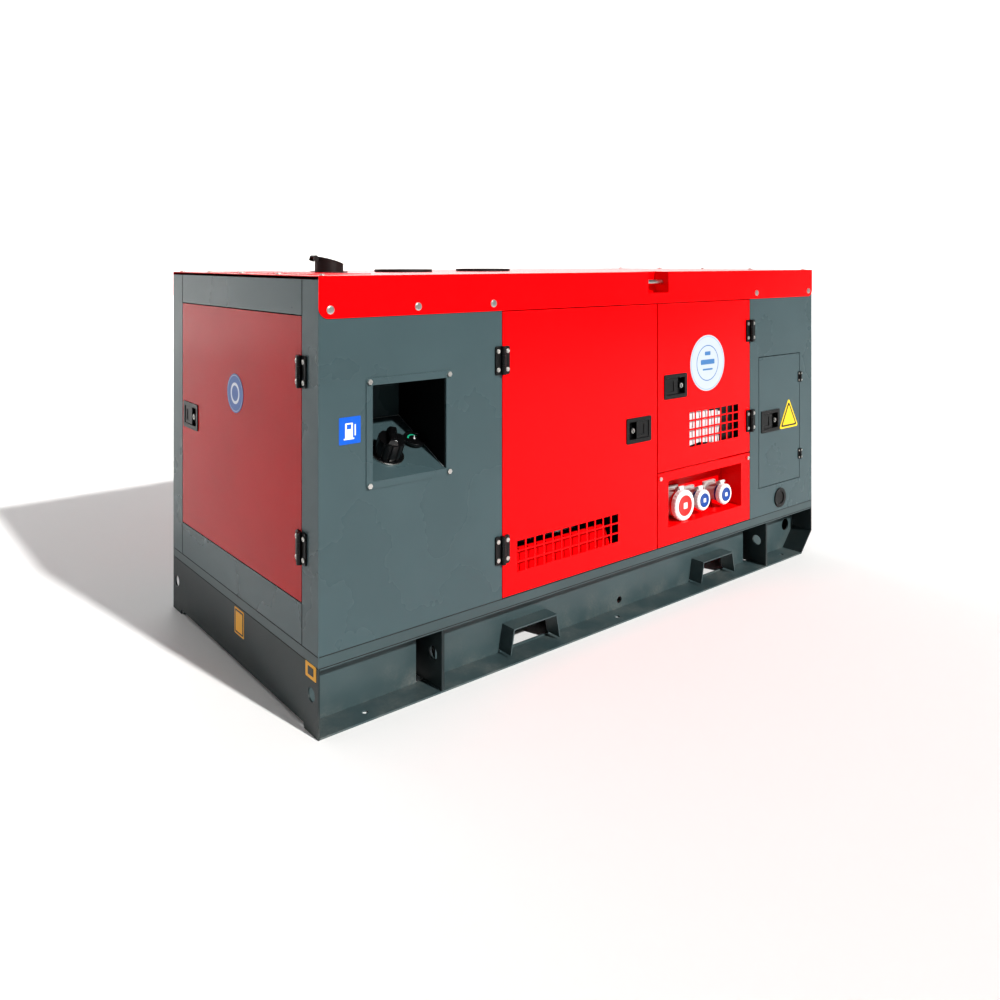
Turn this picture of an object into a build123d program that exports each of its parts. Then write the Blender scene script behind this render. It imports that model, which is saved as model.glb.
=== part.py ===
from build123d import *
import os
from math import atan2, cos, hypot, sin

# Enclosed engine-driven generating set on a forkable skid, in millimetres.
# X runs along the set with the radiator end at -X, the service side faces -Y, Z is up from the ground.

# ---- overall envelope ----
length = 2380.0
width = 1070.0
height = 1200.0
sheet = 2.5            # canopy sheet metal
plate = 5.0            # skid plate

# ---- skid ----
skid_height = 184.0
rail_flange = 85.0     # how far the web stands in from the outer face
end_cut_run = 80.0     # sledge cut at the right-hand end
end_cut_rise = 84.0
left_notch_rise = 15.0
left_notch_inset = 78.0
anchor_pitch = 1024.0
anchor_inset = 40.0
anchor_hole_r = 9.0
tie_hole_r = 19.0
tie_hole_inset = 38.0
tie_hole_z = 104.0
lift_left_inset = 403.0
lift_right_inset = 340.0
lift_plate = 10.0
lift_hole_r = 20.0
lift_hole_z = 100.0
niche_width = 70.0
niche_top = 150.0
fork_left_inset = 796.0    # middle of the left pocket from the left end
fork_right_inset = 620.0   # middle of the right pocket from the right end
fork_width = 180.0
fork_flare = 15.0
fork_floor = 10.0
fork_top = 88.0
fork_hood = 55.0
hood_wall = 4.0
cross_depth = 60.0
cross_bottom = 104.0
sill_height = 30.0
sill_width = 40.0

# ---- canopy layout, from the ends ----
left_panel_width = 626.0
right_panel_width = 456.0
control_bay_width = 568.0
socket_panel_top = 482.0
roof_flange = 112.0
roof_clear = 10.0          # frame tops stand this far under the roof's top face
door_gap = 3.0
pan_depth = 25.0
post_width = 60.0
post_depth = 30.0
post_setback = 27.0
corner_post_width = 87.5
corner_post_depth = 40.0
end_door_low = 325.0
end_door_high = 1094.0

# ---- hinges, latches ----
hinge_tall = 86.0
hinge_reach = 28.0
hinge_thick = 5.0
knuckle_r = 7.0
pin_r = 3.0
pin_out = 9.0
pin_clear = 0.1
knuckle_gap = 0.5
leaf_start = 8.5
small_hinge_scale = 0.5
latch_width = 130.0
latch_tall = 88.0
latch_lip = 3.0
latch_depth = 20.0
latch_wall = 3.0
latch_rim = 14.0
paddle_gap = 1.5
paddle_thick = 4.0
paddle_share = 0.62
finger_r = 9.0
trunnion_r = 2.0
trunnion_bite = 4.0

# ---- grilles ----
slot_wide = 33.0
slot_tall = 28.0
slot_pitch_x = 39.0
slot_pitch_z = 33.5

# ---- fuel filling ----
filler_left, filler_right = 164.0, 413.0     # from the left end
filler_low, filler_high = 643.0, 903.0
filler_depth = 240.0
filler_shelf_rise = 120.0
filler_lip = 20.0
cap_from_left = 268.0
cap_depth = 86.0
cap_r = 40.0
cap_tall = 52.0
cap_clear = 0.5
neck_r = 33.0
neck_tall = 42.0
neck_wall = 3.0
neck_flange = 4.0
hose_r = 26.0
hose_y = -330.0
gauge_from_left = 380.0
gauge_depth = 117.0
gauge_r = 29.0
gauge_tall = 9.0

# ---- sockets ----
recess_left, recess_right = 61.0, 509.0      # from the left edge of the control bay
recess_low, recess_high = 280.0, 447.0
recess_depth = 94.0
socket_z = 336.0
lid_face = 12.0
lid_thick = 20.0
red_socket_x = 174.0           # from the left edge of the control bay
red_lid_r = 56.0
blue_socket_x = (290.0, 426.0)
blue_lid_r = 38.5
lid_axis_rise = 7.0
lid_knuckle_r = 5.0
lid_pin_r = 2.5
lid_gap = 0.5

# ---- terminal cabinet ----
cabinet_left, cabinet_right = 94.0, 396.0    # from the right end, inner edges of the door opening
cabinet_low, cabinet_high = 325.0, 853.0
cabinet_depth = 180.0
cable_hole_inset = 245.0
cable_hole_z = 267.0
cable_hole_r = 33.0
grommet_rim = 6.0

# ---- roof ----
hatch_from_left = (630.0, 994.0)
hatch_r = 102.0
exhaust_from_left = 332.0
exhaust_r = 50.0
exhaust_low = 24.0
exhaust_high = 54.0
notch_left, notch_right = -52.0, 60.0         # from the left edge of the control bay
notch_drop = 75.0              # floor of the lifting notch under the roof's top face
notch_depth = 60.0
grille_left, grille_right = 70.0, 250.0
grille_half_y = 360.0

# ---- engine, generator, cooling ----
shaft_z = 520.0
shaft_r = 22.0
engine_left, engine_right = 300.0, 880.0     # from the left end
engine_half_y = 140.0
engine_low, engine_high = 400.0, 760.0
sump_low = 268.0
head_top = 900.0
foot_thick = 12.0
mount_tall = 40.0
mount_r = 24.0
generator_right = 1500.0
generator_r = 200.0
radiator_from_left = 66.0
radiator_depth = 74.0
radiator_half_y = 320.0
radiator_top = 1000.0
shroud_depth = 90.0
fan_r = 225.0
fan_clear = 8.0
silencer_r = 62.0
silencer_half_y = 240.0
silencer_z = 1020.0

half_l = length / 2
half_w = width / 2
deck = skid_height + sill_height
eave = height - roof_flange
frame_top = height - roof_clear
notch_low = height - notch_drop
end_slope = hypot(end_cut_run, end_cut_rise)

FRONT = Plane(origin=(0, -half_w, 0), x_dir=(1, 0, 0), z_dir=(0, -1, 0))
REAR = Plane(origin=(0, half_w, 0), x_dir=(-1, 0, 0), z_dir=(0, 1, 0))
LEFT = Plane(origin=(-half_l, 0, 0), x_dir=(0, -1, 0), z_dir=(-1, 0, 0))
RIGHT = Plane(origin=(half_l, 0, 0), x_dir=(0, 1, 0), z_dir=(1, 0, 0))

os.makedirs("parts", exist_ok=True)


def save(made, name):
    """Labels a finished piece and writes it as its own node."""
    made.part.label = name
    export_step(made.part, f"parts/{name}.step")


def from_left(distance):
    return -half_l + distance


def from_right(distance):
    return half_l - distance


def rect(plane, x0, x1, z0, z1, radius=0.0):
    """A rectangle on a wall plane between two corners, with rounded corners if asked."""
    with BuildSketch(plane) as made:
        with Locations(((x0 + x1) / 2, (z0 + z1) / 2)):
            if radius:
                RectangleRounded(x1 - x0, z1 - z0, radius)
            else:
                Rectangle(x1 - x0, z1 - z0)
    return made.sketch


def disc(plane, x, z, radius):
    with BuildSketch(plane) as made:
        with Locations((x, z)):
            Circle(radius)
    return made.sketch


def block(x0, x1, y0, y1, z0, z1, mode=Mode.ADD):
    """Adds or cuts an upright box between two corners."""
    extrude(rect(Plane.XY.offset(z0), x0, x1, y0, y1), amount=z1 - z0, mode=mode)


def fold_pan(plane, x0, x1, z0, z1, depth):
    """Adds a sheet pan: a skin on the wall plane with all four edges turned in."""
    extrude(rect(plane, x0, x1, z0, z1), amount=-depth)
    inner = rect(plane.offset(-sheet), x0 + sheet, x1 - sheet, z0 + sheet, z1 - sheet)
    extrude(inner, amount=sheet - depth, mode=Mode.SUBTRACT)


def cut_slots(plane, x, z, columns, rows):
    """Cuts a punched grille centred on x, z through the skin."""
    with BuildSketch(plane) as slots:
        with Locations((x, z)):
            with GridLocations(slot_pitch_x, slot_pitch_z, columns, rows):
                Rectangle(slot_wide, slot_tall)
    extrude(slots.sketch, amount=-2 * sheet, mode=Mode.SUBTRACT)


def upright_rod(plane, x, z0, z1, out, radius, mode=Mode.ADD):
    """A vertical rod that stands a distance out from a wall plane."""
    foot = Plane(origin=plane.from_local_coords((x, z0, out)), z_dir=(0, 0, 1))
    extrude(disc(foot, 0, 0, radius), amount=z1 - z0, mode=mode)


def hinge_leaf(plane, x, z, side, carries_pin, scale=1.0):
    """One leaf of a lift-off hinge. The pin leaf holds the outer knuckles, the other the middle one."""
    tall, reach, thick = hinge_tall * scale, hinge_reach * scale, hinge_thick * scale
    r, out, start = knuckle_r * scale, pin_out * scale, leaf_start * scale
    third = tall / 6
    near, far = sorted((x + side * start, x + side * reach))
    extrude(rect(plane, near, far, z - tall / 2, z + tall / 2, 6 * scale), amount=thick)
    if carries_pin:
        spans = [(z - tall / 2, z - third - knuckle_gap), (z + third + knuckle_gap, z + tall / 2)]
    else:
        spans = [(z - third, z + third)]
    inner, outer = sorted((x, x + side * (start + 8 * scale)))
    for low, high in spans:
        extrude(rect(plane.offset(thick / 2), inner, outer, low, high), amount=thick / 2)
        upright_rod(plane, x, low, high, out, r)
    if carries_pin:
        upright_rod(plane, x, z - third - knuckle_gap, z + third + knuckle_gap, out, pin_r * scale)
    else:
        upright_rod(plane, x, z - third, z + third, out, pin_r * scale + pin_clear, Mode.SUBTRACT)


def latch_cup(plane, x, z, pull):
    """Flanged cup of a paddle latch, with its key barrel away from the pull side."""
    half_x, half_z = latch_width / 2, latch_tall / 2
    extrude(rect(plane, x - half_x, x + half_x, z - half_z, z + half_z, 6), amount=latch_lip)
    body_x, body_z = half_x - latch_rim / 2, half_z - latch_rim / 2
    extrude(rect(plane, x - body_x, x + body_x, z - body_z, z + body_z), amount=-latch_depth)
    well_x, well_z = half_x - latch_rim, half_z - latch_rim
    well = rect(plane.offset(latch_lip), x - well_x, x + well_x, z - well_z, z + well_z, 4)
    extrude(well, amount=latch_wall - latch_depth - latch_lip, mode=Mode.SUBTRACT)
    edge, free = paddle_edges(x, pull)
    for low in (z - well_z - trunnion_bite, z + well_z):
        upright_rod(plane, edge + pull * trunnion_r * 2, low, low + trunnion_bite, -1, trunnion_r + pin_clear,
                    Mode.SUBTRACT)
    key = x - pull * well_x * 0.62
    extrude(disc(plane.offset(latch_wall - latch_depth), key, z, 11), amount=latch_depth - latch_wall + 1)


def paddle_edges(x, pull):
    """The paddle's hinge edge and its free edge across the latch."""
    well_x = latch_width / 2 - latch_rim - paddle_gap
    free = x + pull * well_x
    return free - pull * 2 * well_x * paddle_share, free


def latch_paddle(plane, x, z, pull):
    """The pulled flap of a paddle latch, with a square finger well."""
    edge, free = paddle_edges(x, pull)
    half_z = latch_tall / 2 - latch_rim - paddle_gap
    x0, x1 = sorted((edge, free))
    extrude(rect(plane.offset(1), x0, x1, z - half_z, z + half_z, 3), amount=-paddle_thick)
    tip = half_z + paddle_gap + trunnion_bite - knuckle_gap
    upright_rod(plane, edge + pull * trunnion_r * 2, z - tip, z + tip, -1, trunnion_r)
    middle = (x0 + x1) / 2
    well = rect(plane.offset(1), middle - 2 * finger_r, middle + finger_r, z - 2 * finger_r, z + 2 * finger_r)
    extrude(well, amount=-paddle_thick / 2, mode=Mode.SUBTRACT)


def cut_latch_hole(plane, x, z):
    half_x, half_z = latch_width / 2 - latch_rim / 2, latch_tall / 2 - latch_rim / 2
    extrude(rect(plane, x - half_x, x + half_x, z - half_z, z + half_z), amount=-2 * sheet, mode=Mode.SUBTRACT)


# ---- layout of the doors: wall, low and high corners, hinge side, latch place, grille, hinge inset ----
main_left = from_left(left_panel_width)
bay_left = from_right(right_panel_width + control_bay_width)
bay_right = from_right(right_panel_width)
latch_inset = 101.0
small_latch_inset = 82.0
hinge_inset = 150.0
control_hinge_inset = 125.0
cabinet_hinge_inset = 102.0
end_half = half_w - sheet - corner_post_width
grille_z = 330.0
control_grille_z = 616.0
cabinet_x0, cabinet_x1 = from_right(cabinet_right), from_right(cabinet_left)

# name: (plane, x0, x1, z0, z1, hinge side, hinge inset, latch inset, hinge scale, grilles)
doors = {
    "main_door": (FRONT, main_left, bay_left, deck, eave, -1, hinge_inset, latch_inset, 1.0,
                  [(main_left + 293, grille_z, 12, 3)]),
    "control_door": (FRONT, bay_left, bay_right, socket_panel_top, eave, 1, control_hinge_inset,
                     latch_inset, 1.0, [(bay_left + 337, control_grille_z, 8, 4)]),
    "terminal_door": (FRONT, cabinet_x0, cabinet_x1, cabinet_low, cabinet_high, 1, cabinet_hinge_inset,
                      small_latch_inset, small_hinge_scale, []),
    "radiator_door": (LEFT, -end_half, end_half, end_door_low, end_door_high, 1, hinge_inset,
                      small_latch_inset, 1.0, []),
    "rear_door": (REAR, -bay_left, -main_left, deck, eave, 1, hinge_inset, latch_inset, 1.0,
                  [(-main_left - 293, grille_z, 12, 3)]),
}

# ---- doors and what is fixed to them ----
for name, (wall, x0, x1, z0, z1, side, inset, latch_in, scale, grilles) in doors.items():
    hinge_x = x1 if side > 0 else x0
    latch_x = x0 + latch_in if side > 0 else x1 - latch_in
    latch_z = (z0 + z1) / 2
    with BuildPart() as door:
        fold_pan(wall, x0 + door_gap, x1 - door_gap, z0 + door_gap, z1 - door_gap, pan_depth)
        cut_latch_hole(wall, latch_x, latch_z)
        for grille_x, grille_mid, columns, rows in grilles:
            cut_slots(wall, grille_x, grille_mid, columns, rows)
    save(door, name)
    with BuildPart() as fittings:
        for hinge_z in (z0 + inset, z1 - inset):
            hinge_leaf(wall, hinge_x, hinge_z, -side, False, scale)
        latch_cup(wall, latch_x, latch_z, -side)
    save(fittings, f"{name}_fittings")
    with BuildPart() as paddle:
        latch_paddle(wall, latch_x, latch_z, -side)
    save(paddle, f"{name}_paddle")

with BuildPart() as frame_leaves:
    for wall, x0, x1, z0, z1, side, inset, latch_in, scale, grilles in doors.values():
        for hinge_z in (z0 + inset, z1 - inset):
            hinge_leaf(wall, x1 if side > 0 else x0, hinge_z, side, True, scale)
save(frame_leaves, "hinge_frame_leaves")


# ---- skid ----
def rail_side_outline():
    """The rail seen from the side, cut back inside the sloping right-hand end plate."""
    foot = half_l - end_cut_run - plate * end_slope / end_cut_rise
    inner_end = half_l - plate
    knee = (inner_end - foot) * end_cut_rise / end_cut_run
    with BuildSketch(Plane.XZ.offset(-half_w)) as made:
        with BuildLine():
            Polyline((-half_l + plate, 0), (foot, 0), (inner_end, knee), (inner_end, skid_height),
                     (-half_l + plate, skid_height), close=True)
        make_face()
    return made.sketch


def fork_outline(plane, x, grow=0.0):
    """The flared fork pocket seen along the forks."""
    half_top = fork_width / 2 + grow
    half_foot = half_top + fork_flare
    with BuildSketch(plane) as made:
        with BuildLine():
            Polyline((x - half_foot, fork_floor), (x + half_foot, fork_floor),
                     (x + half_top, fork_top + grow), (x - half_top, fork_top + grow), close=True)
        make_face()
    return made.sketch


fork_x = (from_left(fork_left_inset), from_right(fork_right_inset))
lift_x = (from_left(lift_left_inset), from_right(lift_right_inset))
anchor_y = half_w - anchor_inset
web_y = half_w - rail_flange

for name, sense in (("front_skid_rail", -1), ("rear_skid_rail", 1)):
    outer, web, inner = sense * half_w, sense * web_y, sense * (web_y - plate)
    low_y, high_y = sorted((outer, web))
    with BuildPart() as rail:
        extrude(rail_side_outline(), amount=width)
        if sense < 0:
            block(-half_l, half_l, inner, half_w, 0, skid_height, Mode.SUBTRACT)
        else:
            block(-half_l, half_l, -half_w, inner, 0, skid_height, Mode.SUBTRACT)
        block(-half_l, half_l, low_y, high_y, plate, skid_height - plate, Mode.SUBTRACT)
        for x in fork_x:
            extrude(fork_outline(Plane.XZ, x, hood_wall), amount=width, both=True, mode=Mode.SUBTRACT)
        for x in lift_x:
            block(x - niche_width / 2, x + niche_width / 2, *sorted((web, inner)), plate, niche_top, Mode.SUBTRACT)
        for x in (-anchor_pitch, 0, anchor_pitch):
            extrude(disc(Plane.XY, x, sense * anchor_y, anchor_hole_r), amount=plate, mode=Mode.SUBTRACT)
        drain = disc(Plane.XZ, 62, 33, 12)
        extrude(drain, amount=-sense * half_w, mode=Mode.SUBTRACT)
        eye = disc(Plane.XZ, half_l - 63, lift_hole_z, 25)
        extrude(eye, amount=-sense * half_w, mode=Mode.SUBTRACT)
    save(rail, name)

with BuildPart() as end_plates:
    extrude(rect(LEFT, -half_w, half_w, 0, skid_height), amount=-plate)
    notch_half = half_w - left_notch_inset
    extrude(rect(LEFT, -notch_half, notch_half, 0, left_notch_rise), amount=-plate, mode=Mode.SUBTRACT)
    for y in (-half_w + tie_hole_inset, half_w - tie_hole_inset):
        extrude(disc(LEFT, y, tie_hole_z, tie_hole_r), amount=-plate, mode=Mode.SUBTRACT)
    foot_shift = plate * end_slope / end_cut_rise
    knee_shift = plate * end_slope / end_cut_run
    with BuildSketch(Plane.XZ.offset(-half_w)) as sloped:
        with BuildLine():
            Polyline((half_l, skid_height), (half_l, end_cut_rise), (half_l - end_cut_run, 0),
                     (half_l - end_cut_run - foot_shift, 0),
                     (half_l - plate, end_cut_rise + knee_shift - plate * end_cut_rise / end_cut_run),
                     (half_l - plate, skid_height), close=True)
        make_face()
    extrude(sloped.sketch, amount=width)
save(end_plates, "skid_end_plates")

cross_x = (from_left(40), from_left(1130), from_left(1560), from_right(260))
with BuildPart() as cross_members:
    for x in cross_x:
        block(x, x + cross_depth, -web_y + plate, web_y - plate, cross_bottom, skid_height)
        block(x + plate, x + cross_depth, -web_y + plate, web_y - plate, cross_bottom + plate,
              skid_height - plate, Mode.SUBTRACT)
save(cross_members, "skid_cross_members")

with BuildPart() as fork_guides:
    for sense in (-1, 1):
        plane = Plane.XZ.offset(-sense * (web_y - plate))
        for x in fork_x:
            extrude(fork_outline(plane, x, hood_wall), amount=-sense * (fork_hood + plate))
            extrude(fork_outline(plane, x), amount=-sense * (fork_hood + plate), mode=Mode.SUBTRACT)
            foot = rect(plane, x - fork_width, x + fork_width, 0, fork_floor + hood_wall)
            extrude(foot, amount=-sense * (fork_hood + plate), mode=Mode.SUBTRACT)
save(fork_guides, "fork_pocket_guides")

with BuildPart() as lifting_plates:
    for sense in (-1, 1):
        y0, y1 = sorted((sense * half_w, sense * (web_y - niche_width)))
        for x in lift_x:
            block(x - lift_plate / 2, x + lift_plate / 2, y0, y1, plate, skid_height - plate)
            hole = disc(Plane.YZ.offset(x - lift_plate / 2), sense * (half_w - rail_flange / 2), lift_hole_z,
                        lift_hole_r)
            extrude(hole, amount=lift_plate, mode=Mode.SUBTRACT)
            block(x - lift_plate / 2, x + lift_plate / 2, *sorted((sense * web_y, sense * (web_y - niche_width))),
                  niche_top, skid_height, Mode.SUBTRACT)
save(lifting_plates, "lifting_plates")

tank_left = cross_x[0] + cross_depth
tank_right = cross_x[1]
tank_y = web_y - niche_width - 12
with BuildPart() as fuel_tank:
    block(tank_left, tank_right, -tank_y, tank_y, cross_bottom, skid_height - 6)
    fillet(fuel_tank.edges().filter_by(Axis.X), 12)
    extrude(disc(Plane.XY.offset(skid_height - 6), from_left(cap_from_left), hose_y, hose_r + 5), amount=6)
save(fuel_tank, "fuel_tank")

with BuildPart() as sill:
    block(-half_l, half_l, -half_w, half_w, skid_height, deck)
    block(-half_l + sill_width, half_l - sill_width, -half_w + sill_width, half_w - sill_width,
          skid_height, deck, Mode.SUBTRACT)
    block(-half_l + sheet, half_l - sheet, -half_w + sheet, half_w - sheet,
          skid_height + sheet, deck - sheet, Mode.SUBTRACT)
save(sill, "sill_frame")

bed_y = 220.0
bed_half = 25.0
bed_tall = 36.0
bed_top = skid_height + bed_tall
with BuildPart() as engine_bed:
    for sense in (-1, 1):
        y0, y1 = sense * bed_y - bed_half, sense * bed_y + bed_half
        block(cross_x[0], cross_x[3] + cross_depth, y0, y1, skid_height, bed_top)
        hollow = sorted((sense * (bed_y - bed_half), sense * (bed_y + bed_half - plate)))
        block(cross_x[0], cross_x[3] + cross_depth, *hollow, skid_height + plate, bed_top - plate, Mode.SUBTRACT)
save(engine_bed, "engine_bed_rails")

# ---- canopy frame ----
with BuildPart() as canopy_frame:
    for end in (-1, 1):
        for side in (-1, 1):
            x0, x1 = sorted((end * half_l, end * (half_l - corner_post_depth)))
            y0, y1 = sorted((side * (half_w - sheet), side * end_half))
            block(x0, x1, y0, y1, deck, frame_top)
            block(x0 + sheet, x1 - sheet, y0 + sheet, y1 - sheet, deck, frame_top, Mode.SUBTRACT)
    for wall in (LEFT, RIGHT):
        fold_pan(wall, -end_half, end_half, end_door_high, frame_top, corner_post_depth)
        fold_pan(wall, -end_half, end_half, deck, end_door_low, corner_post_depth)
save(canopy_frame, "canopy_frame")

post_x = (main_left, bay_left, bay_right)
with BuildPart() as door_posts:
    for wall, sense in ((FRONT, 1), (REAR, -1)):
        for x in post_x:
            mid = sense * x
            z_top = notch_low - sheet if x == bay_left else frame_top
            extrude(rect(Plane.XY.offset(deck), x - post_width / 2, x + post_width / 2,
                         *sorted((-sense * (half_w - post_setback), -sense * (half_w - post_setback - post_depth)))),
                    amount=z_top - deck)
            inset = rect(Plane.XY.offset(deck), x - post_width / 2 + sheet, x + post_width / 2 - sheet,
                         *sorted((-sense * (half_w - post_setback - sheet),
                                  -sense * (half_w - post_setback - post_depth + sheet))))
            extrude(inset, amount=z_top - deck, mode=Mode.SUBTRACT)
save(door_posts, "door_posts")

panel_top = frame_top
hole_clear = 3.0
with BuildPart() as front_left_panel:
    fold_pan(FRONT, -half_l, main_left, deck, panel_top, post_setback)
    block(-half_l, -half_l + corner_post_depth, -half_w + sheet, -half_w + post_setback, deck, panel_top,
          Mode.SUBTRACT)
    extrude(rect(FRONT, from_left(filler_left) - sheet - hole_clear, from_left(filler_right) + sheet + hole_clear,
                 filler_low - sheet - hole_clear, filler_high + sheet + hole_clear),
            amount=-sheet, mode=Mode.SUBTRACT)
save(front_left_panel, "front_left_panel")

with BuildPart() as front_right_panel:
    fold_pan(FRONT, bay_right, half_l, deck, panel_top, post_setback)
    block(half_l - corner_post_depth, half_l, -half_w + sheet, -half_w + post_setback, deck, panel_top,
          Mode.SUBTRACT)
    extrude(rect(FRONT, cabinet_x0, cabinet_x1, cabinet_low, cabinet_high), amount=-sheet, mode=Mode.SUBTRACT)
    extrude(disc(FRONT, from_right(cable_hole_inset), cable_hole_z, cable_hole_r), amount=-sheet,
            mode=Mode.SUBTRACT)
save(front_right_panel, "front_right_panel")

with BuildPart() as rear_panels:
    fold_pan(REAR, -main_left, half_l, deck, panel_top, post_setback)
    fold_pan(REAR, -half_l, -bay_right, deck, panel_top, post_setback)
    for end in (-1, 1):
        x0, x1 = sorted((end * half_l, end * (half_l - corner_post_depth)))
        block(x0, x1, half_w - post_setback, half_w - sheet, deck, panel_top, Mode.SUBTRACT)
save(rear_panels, "rear_panels")

with BuildPart() as rear_service_panel:
    fold_pan(REAR, -bay_right + door_gap, -bay_left - door_gap, deck + door_gap, eave - door_gap, post_setback)
    cut_slots(REAR, -(bay_left + bay_right) / 2, control_grille_z, 8, 4)
save(rear_service_panel, "rear_service_panel")

intake_rows = 9
intake_pitch = 52.0
intake_half = 330.0
intake_slot = 24.0
intake_mid = (end_door_low + end_door_high) / 2
blade_out = 14.0
with BuildPart() as right_end_panel:
    fold_pan(RIGHT, -end_half, end_half, end_door_low, end_door_high, post_setback)
    for row in range(intake_rows):
        top = intake_mid + (row - (intake_rows - 1) / 2) * intake_pitch + intake_slot / 2
        extrude(rect(RIGHT, -intake_half, intake_half, top - intake_slot, top), amount=-sheet,
                mode=Mode.SUBTRACT)
        with BuildSketch(Plane.XZ.offset(intake_half)) as blade:
            with BuildLine():
                Polyline((half_l, top + 2 * sheet), (half_l + blade_out, top - blade_out),
                         (half_l + blade_out - sheet, top - blade_out), (half_l, top), close=True)
            make_face()
        extrude(blade.sketch, amount=-2 * intake_half)
save(right_end_panel, "right_end_panel")

# ---- roof ----
notch_x = (bay_left + notch_left, bay_left + notch_right)
exhaust_x = from_left(exhaust_from_left)
hatch_x = [from_left(x) for x in hatch_from_left]
flange_bolt_x = [from_left(34), from_left(314), from_left(591), from_right(414), from_right(30)]
flange_bolt_z = height - 89
with BuildPart() as roof:
    block(-half_l, half_l, -half_w - sheet, half_w + sheet, eave, height)
    block(-half_l, half_l, -half_w, half_w, eave, height - sheet, Mode.SUBTRACT)
    fillet(roof.edges().filter_by(Axis.Y).group_by(Axis.Z)[0], 30)
    for side in (-1, 1):
        face, back = side * (half_w + sheet), side * (half_w - notch_depth)
        low_y, high_y = sorted((side * half_w, back - side * sheet))
        block(notch_x[0] - sheet, notch_x[1] + sheet, low_y, high_y, notch_low - sheet, height)
        block(*notch_x, *sorted((face, back)), notch_low, height, Mode.SUBTRACT)
    block(from_left(grille_left), from_left(grille_right), -grille_half_y, grille_half_y, eave, height,
          Mode.SUBTRACT)
    extrude(disc(Plane.XY.offset(height), exhaust_x, 0, exhaust_r - sheet), amount=-2 * sheet,
            mode=Mode.SUBTRACT)
save(roof, "roof")

lift_bar_r = 9.0
with BuildPart() as lifting_eyes:
    for side in (-1, 1):
        middle = (notch_x[0], side * (half_w - notch_depth / 2), (notch_low + height) / 2)
        bar = Plane(origin=middle, z_dir=(1, 0, 0))
        extrude(disc(bar, 0, 0, lift_bar_r), amount=notch_x[1] - notch_x[0])
save(lifting_eyes, "lifting_eyes")

with BuildPart() as roof_grille:
    rim = 12.0
    block(from_left(grille_left) - rim, from_left(grille_right) + rim, -grille_half_y - rim,
          grille_half_y + rim, height, height + 2)
    with BuildSketch(Plane.XY.offset(height + 2)) as holes:
        with Locations((from_left((grille_left + grille_right) / 2), 0)):
            with GridLocations(30, 30, 6, 24):
                Rectangle(22, 22)
    extrude(holes.sketch, amount=-2, mode=Mode.SUBTRACT)
save(roof_grille, "roof_grille")

ring_tall = 9.0
with BuildPart() as roof_rings:
    for x in hatch_x:
        extrude(disc(Plane.XY.offset(height), x, 0, hatch_r), amount=ring_tall)
        extrude(disc(Plane.XY.offset(height + ring_tall), x, 0, hatch_r - 16), amount=-4, mode=Mode.SUBTRACT)
save(roof_rings, "roof_rings")

pipe_r = exhaust_r - sheet
stub_low = silencer_z + silencer_r + 12
flap_tilt = atan2(exhaust_high - exhaust_low, 2 * exhaust_r)
flap_plane = Plane(origin=(exhaust_x, 0, height + (exhaust_low + exhaust_high) / 2),
                   x_dir=(cos(flap_tilt), 0, -sin(flap_tilt)), z_dir=(sin(flap_tilt), 0, cos(flap_tilt)))
flap_thick = 3.0
flap_reach = exhaust_r + 8
flap_gap = 0.5
flap_pin_r = 3.0
flap_arm = 11.0
with BuildPart() as exhaust_stub:
    extrude(disc(Plane.XY.offset(stub_low), exhaust_x, 0, pipe_r), amount=height + exhaust_high + 20 - stub_low)
    extrude(disc(Plane.XY.offset(stub_low), exhaust_x, 0, pipe_r - 3), amount=height + exhaust_high + 20 - stub_low,
            mode=Mode.SUBTRACT)
    extrude(rect(flap_plane.offset(-flap_thick - flap_gap), -90, 90, -90, 90), amount=80, mode=Mode.SUBTRACT)
    collar = disc(Plane.XY.offset(height), exhaust_x, 0, pipe_r + 14)
    extrude(collar, amount=4)
    extrude(disc(Plane.XY.offset(height), exhaust_x, 0, pipe_r - 1), amount=4, mode=Mode.SUBTRACT)
    for side in (-1, 1):
        y0, y1 = sorted((side * (flap_arm + flap_gap), side * (flap_arm + 6)))
        seat = flap_plane.offset(-flap_thick - flap_gap)
        extrude(rect(seat, -flap_reach - 6, 1 - pipe_r, y0, y1), amount=-14)
        knuckle = Plane(origin=flap_plane.from_local_coords((-flap_reach, y0, -flap_thick * 1.5)), z_dir=(0, 1, 0))
        extrude(disc(knuckle, 0, 0, flap_pin_r + 3), amount=y1 - y0)
    pin = Plane(origin=flap_plane.from_local_coords((-flap_reach, -flap_arm - 6, -flap_thick * 1.5)), z_dir=(0, 1, 0))
    extrude(disc(pin, 0, 0, flap_pin_r), amount=2 * (flap_arm + 6))
    extrude(disc(Plane.XY.offset(height - 20), exhaust_x, 0, pipe_r - 3), amount=120, mode=Mode.SUBTRACT)
save(exhaust_stub, "exhaust_stub")

with BuildPart() as rain_flap:
    extrude(disc(flap_plane, 0, 0, exhaust_r), amount=-flap_thick)
    arm = rect(flap_plane, -flap_reach, -exhaust_r + 8, -flap_arm, flap_arm)
    extrude(arm, amount=-flap_thick)
    knuckle = Plane(origin=pin.from_local_coords((0, 0, 6)), z_dir=(0, 1, 0))
    extrude(disc(knuckle, 0, 0, flap_pin_r + 3), amount=2 * flap_arm)
    extrude(disc(knuckle, 0, 0, flap_pin_r + pin_clear), amount=2 * flap_arm, mode=Mode.SUBTRACT)
save(rain_flap, "rain_flap")

# ---- fuel filling ----
slope_angle = atan2(filler_shelf_rise, filler_depth)


def slope_plane(distance, depth, rise=0.0):
    """A plane on the sloping shelf, at a distance from the left end and a depth behind the wall."""
    foot = Vector(from_left(distance), -half_w + depth, filler_low + filler_shelf_rise * depth / filler_depth)
    up = Vector(0, -sin(slope_angle), cos(slope_angle))
    return Plane(origin=foot + up * rise, x_dir=(1, 0, 0), z_dir=up)


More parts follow.
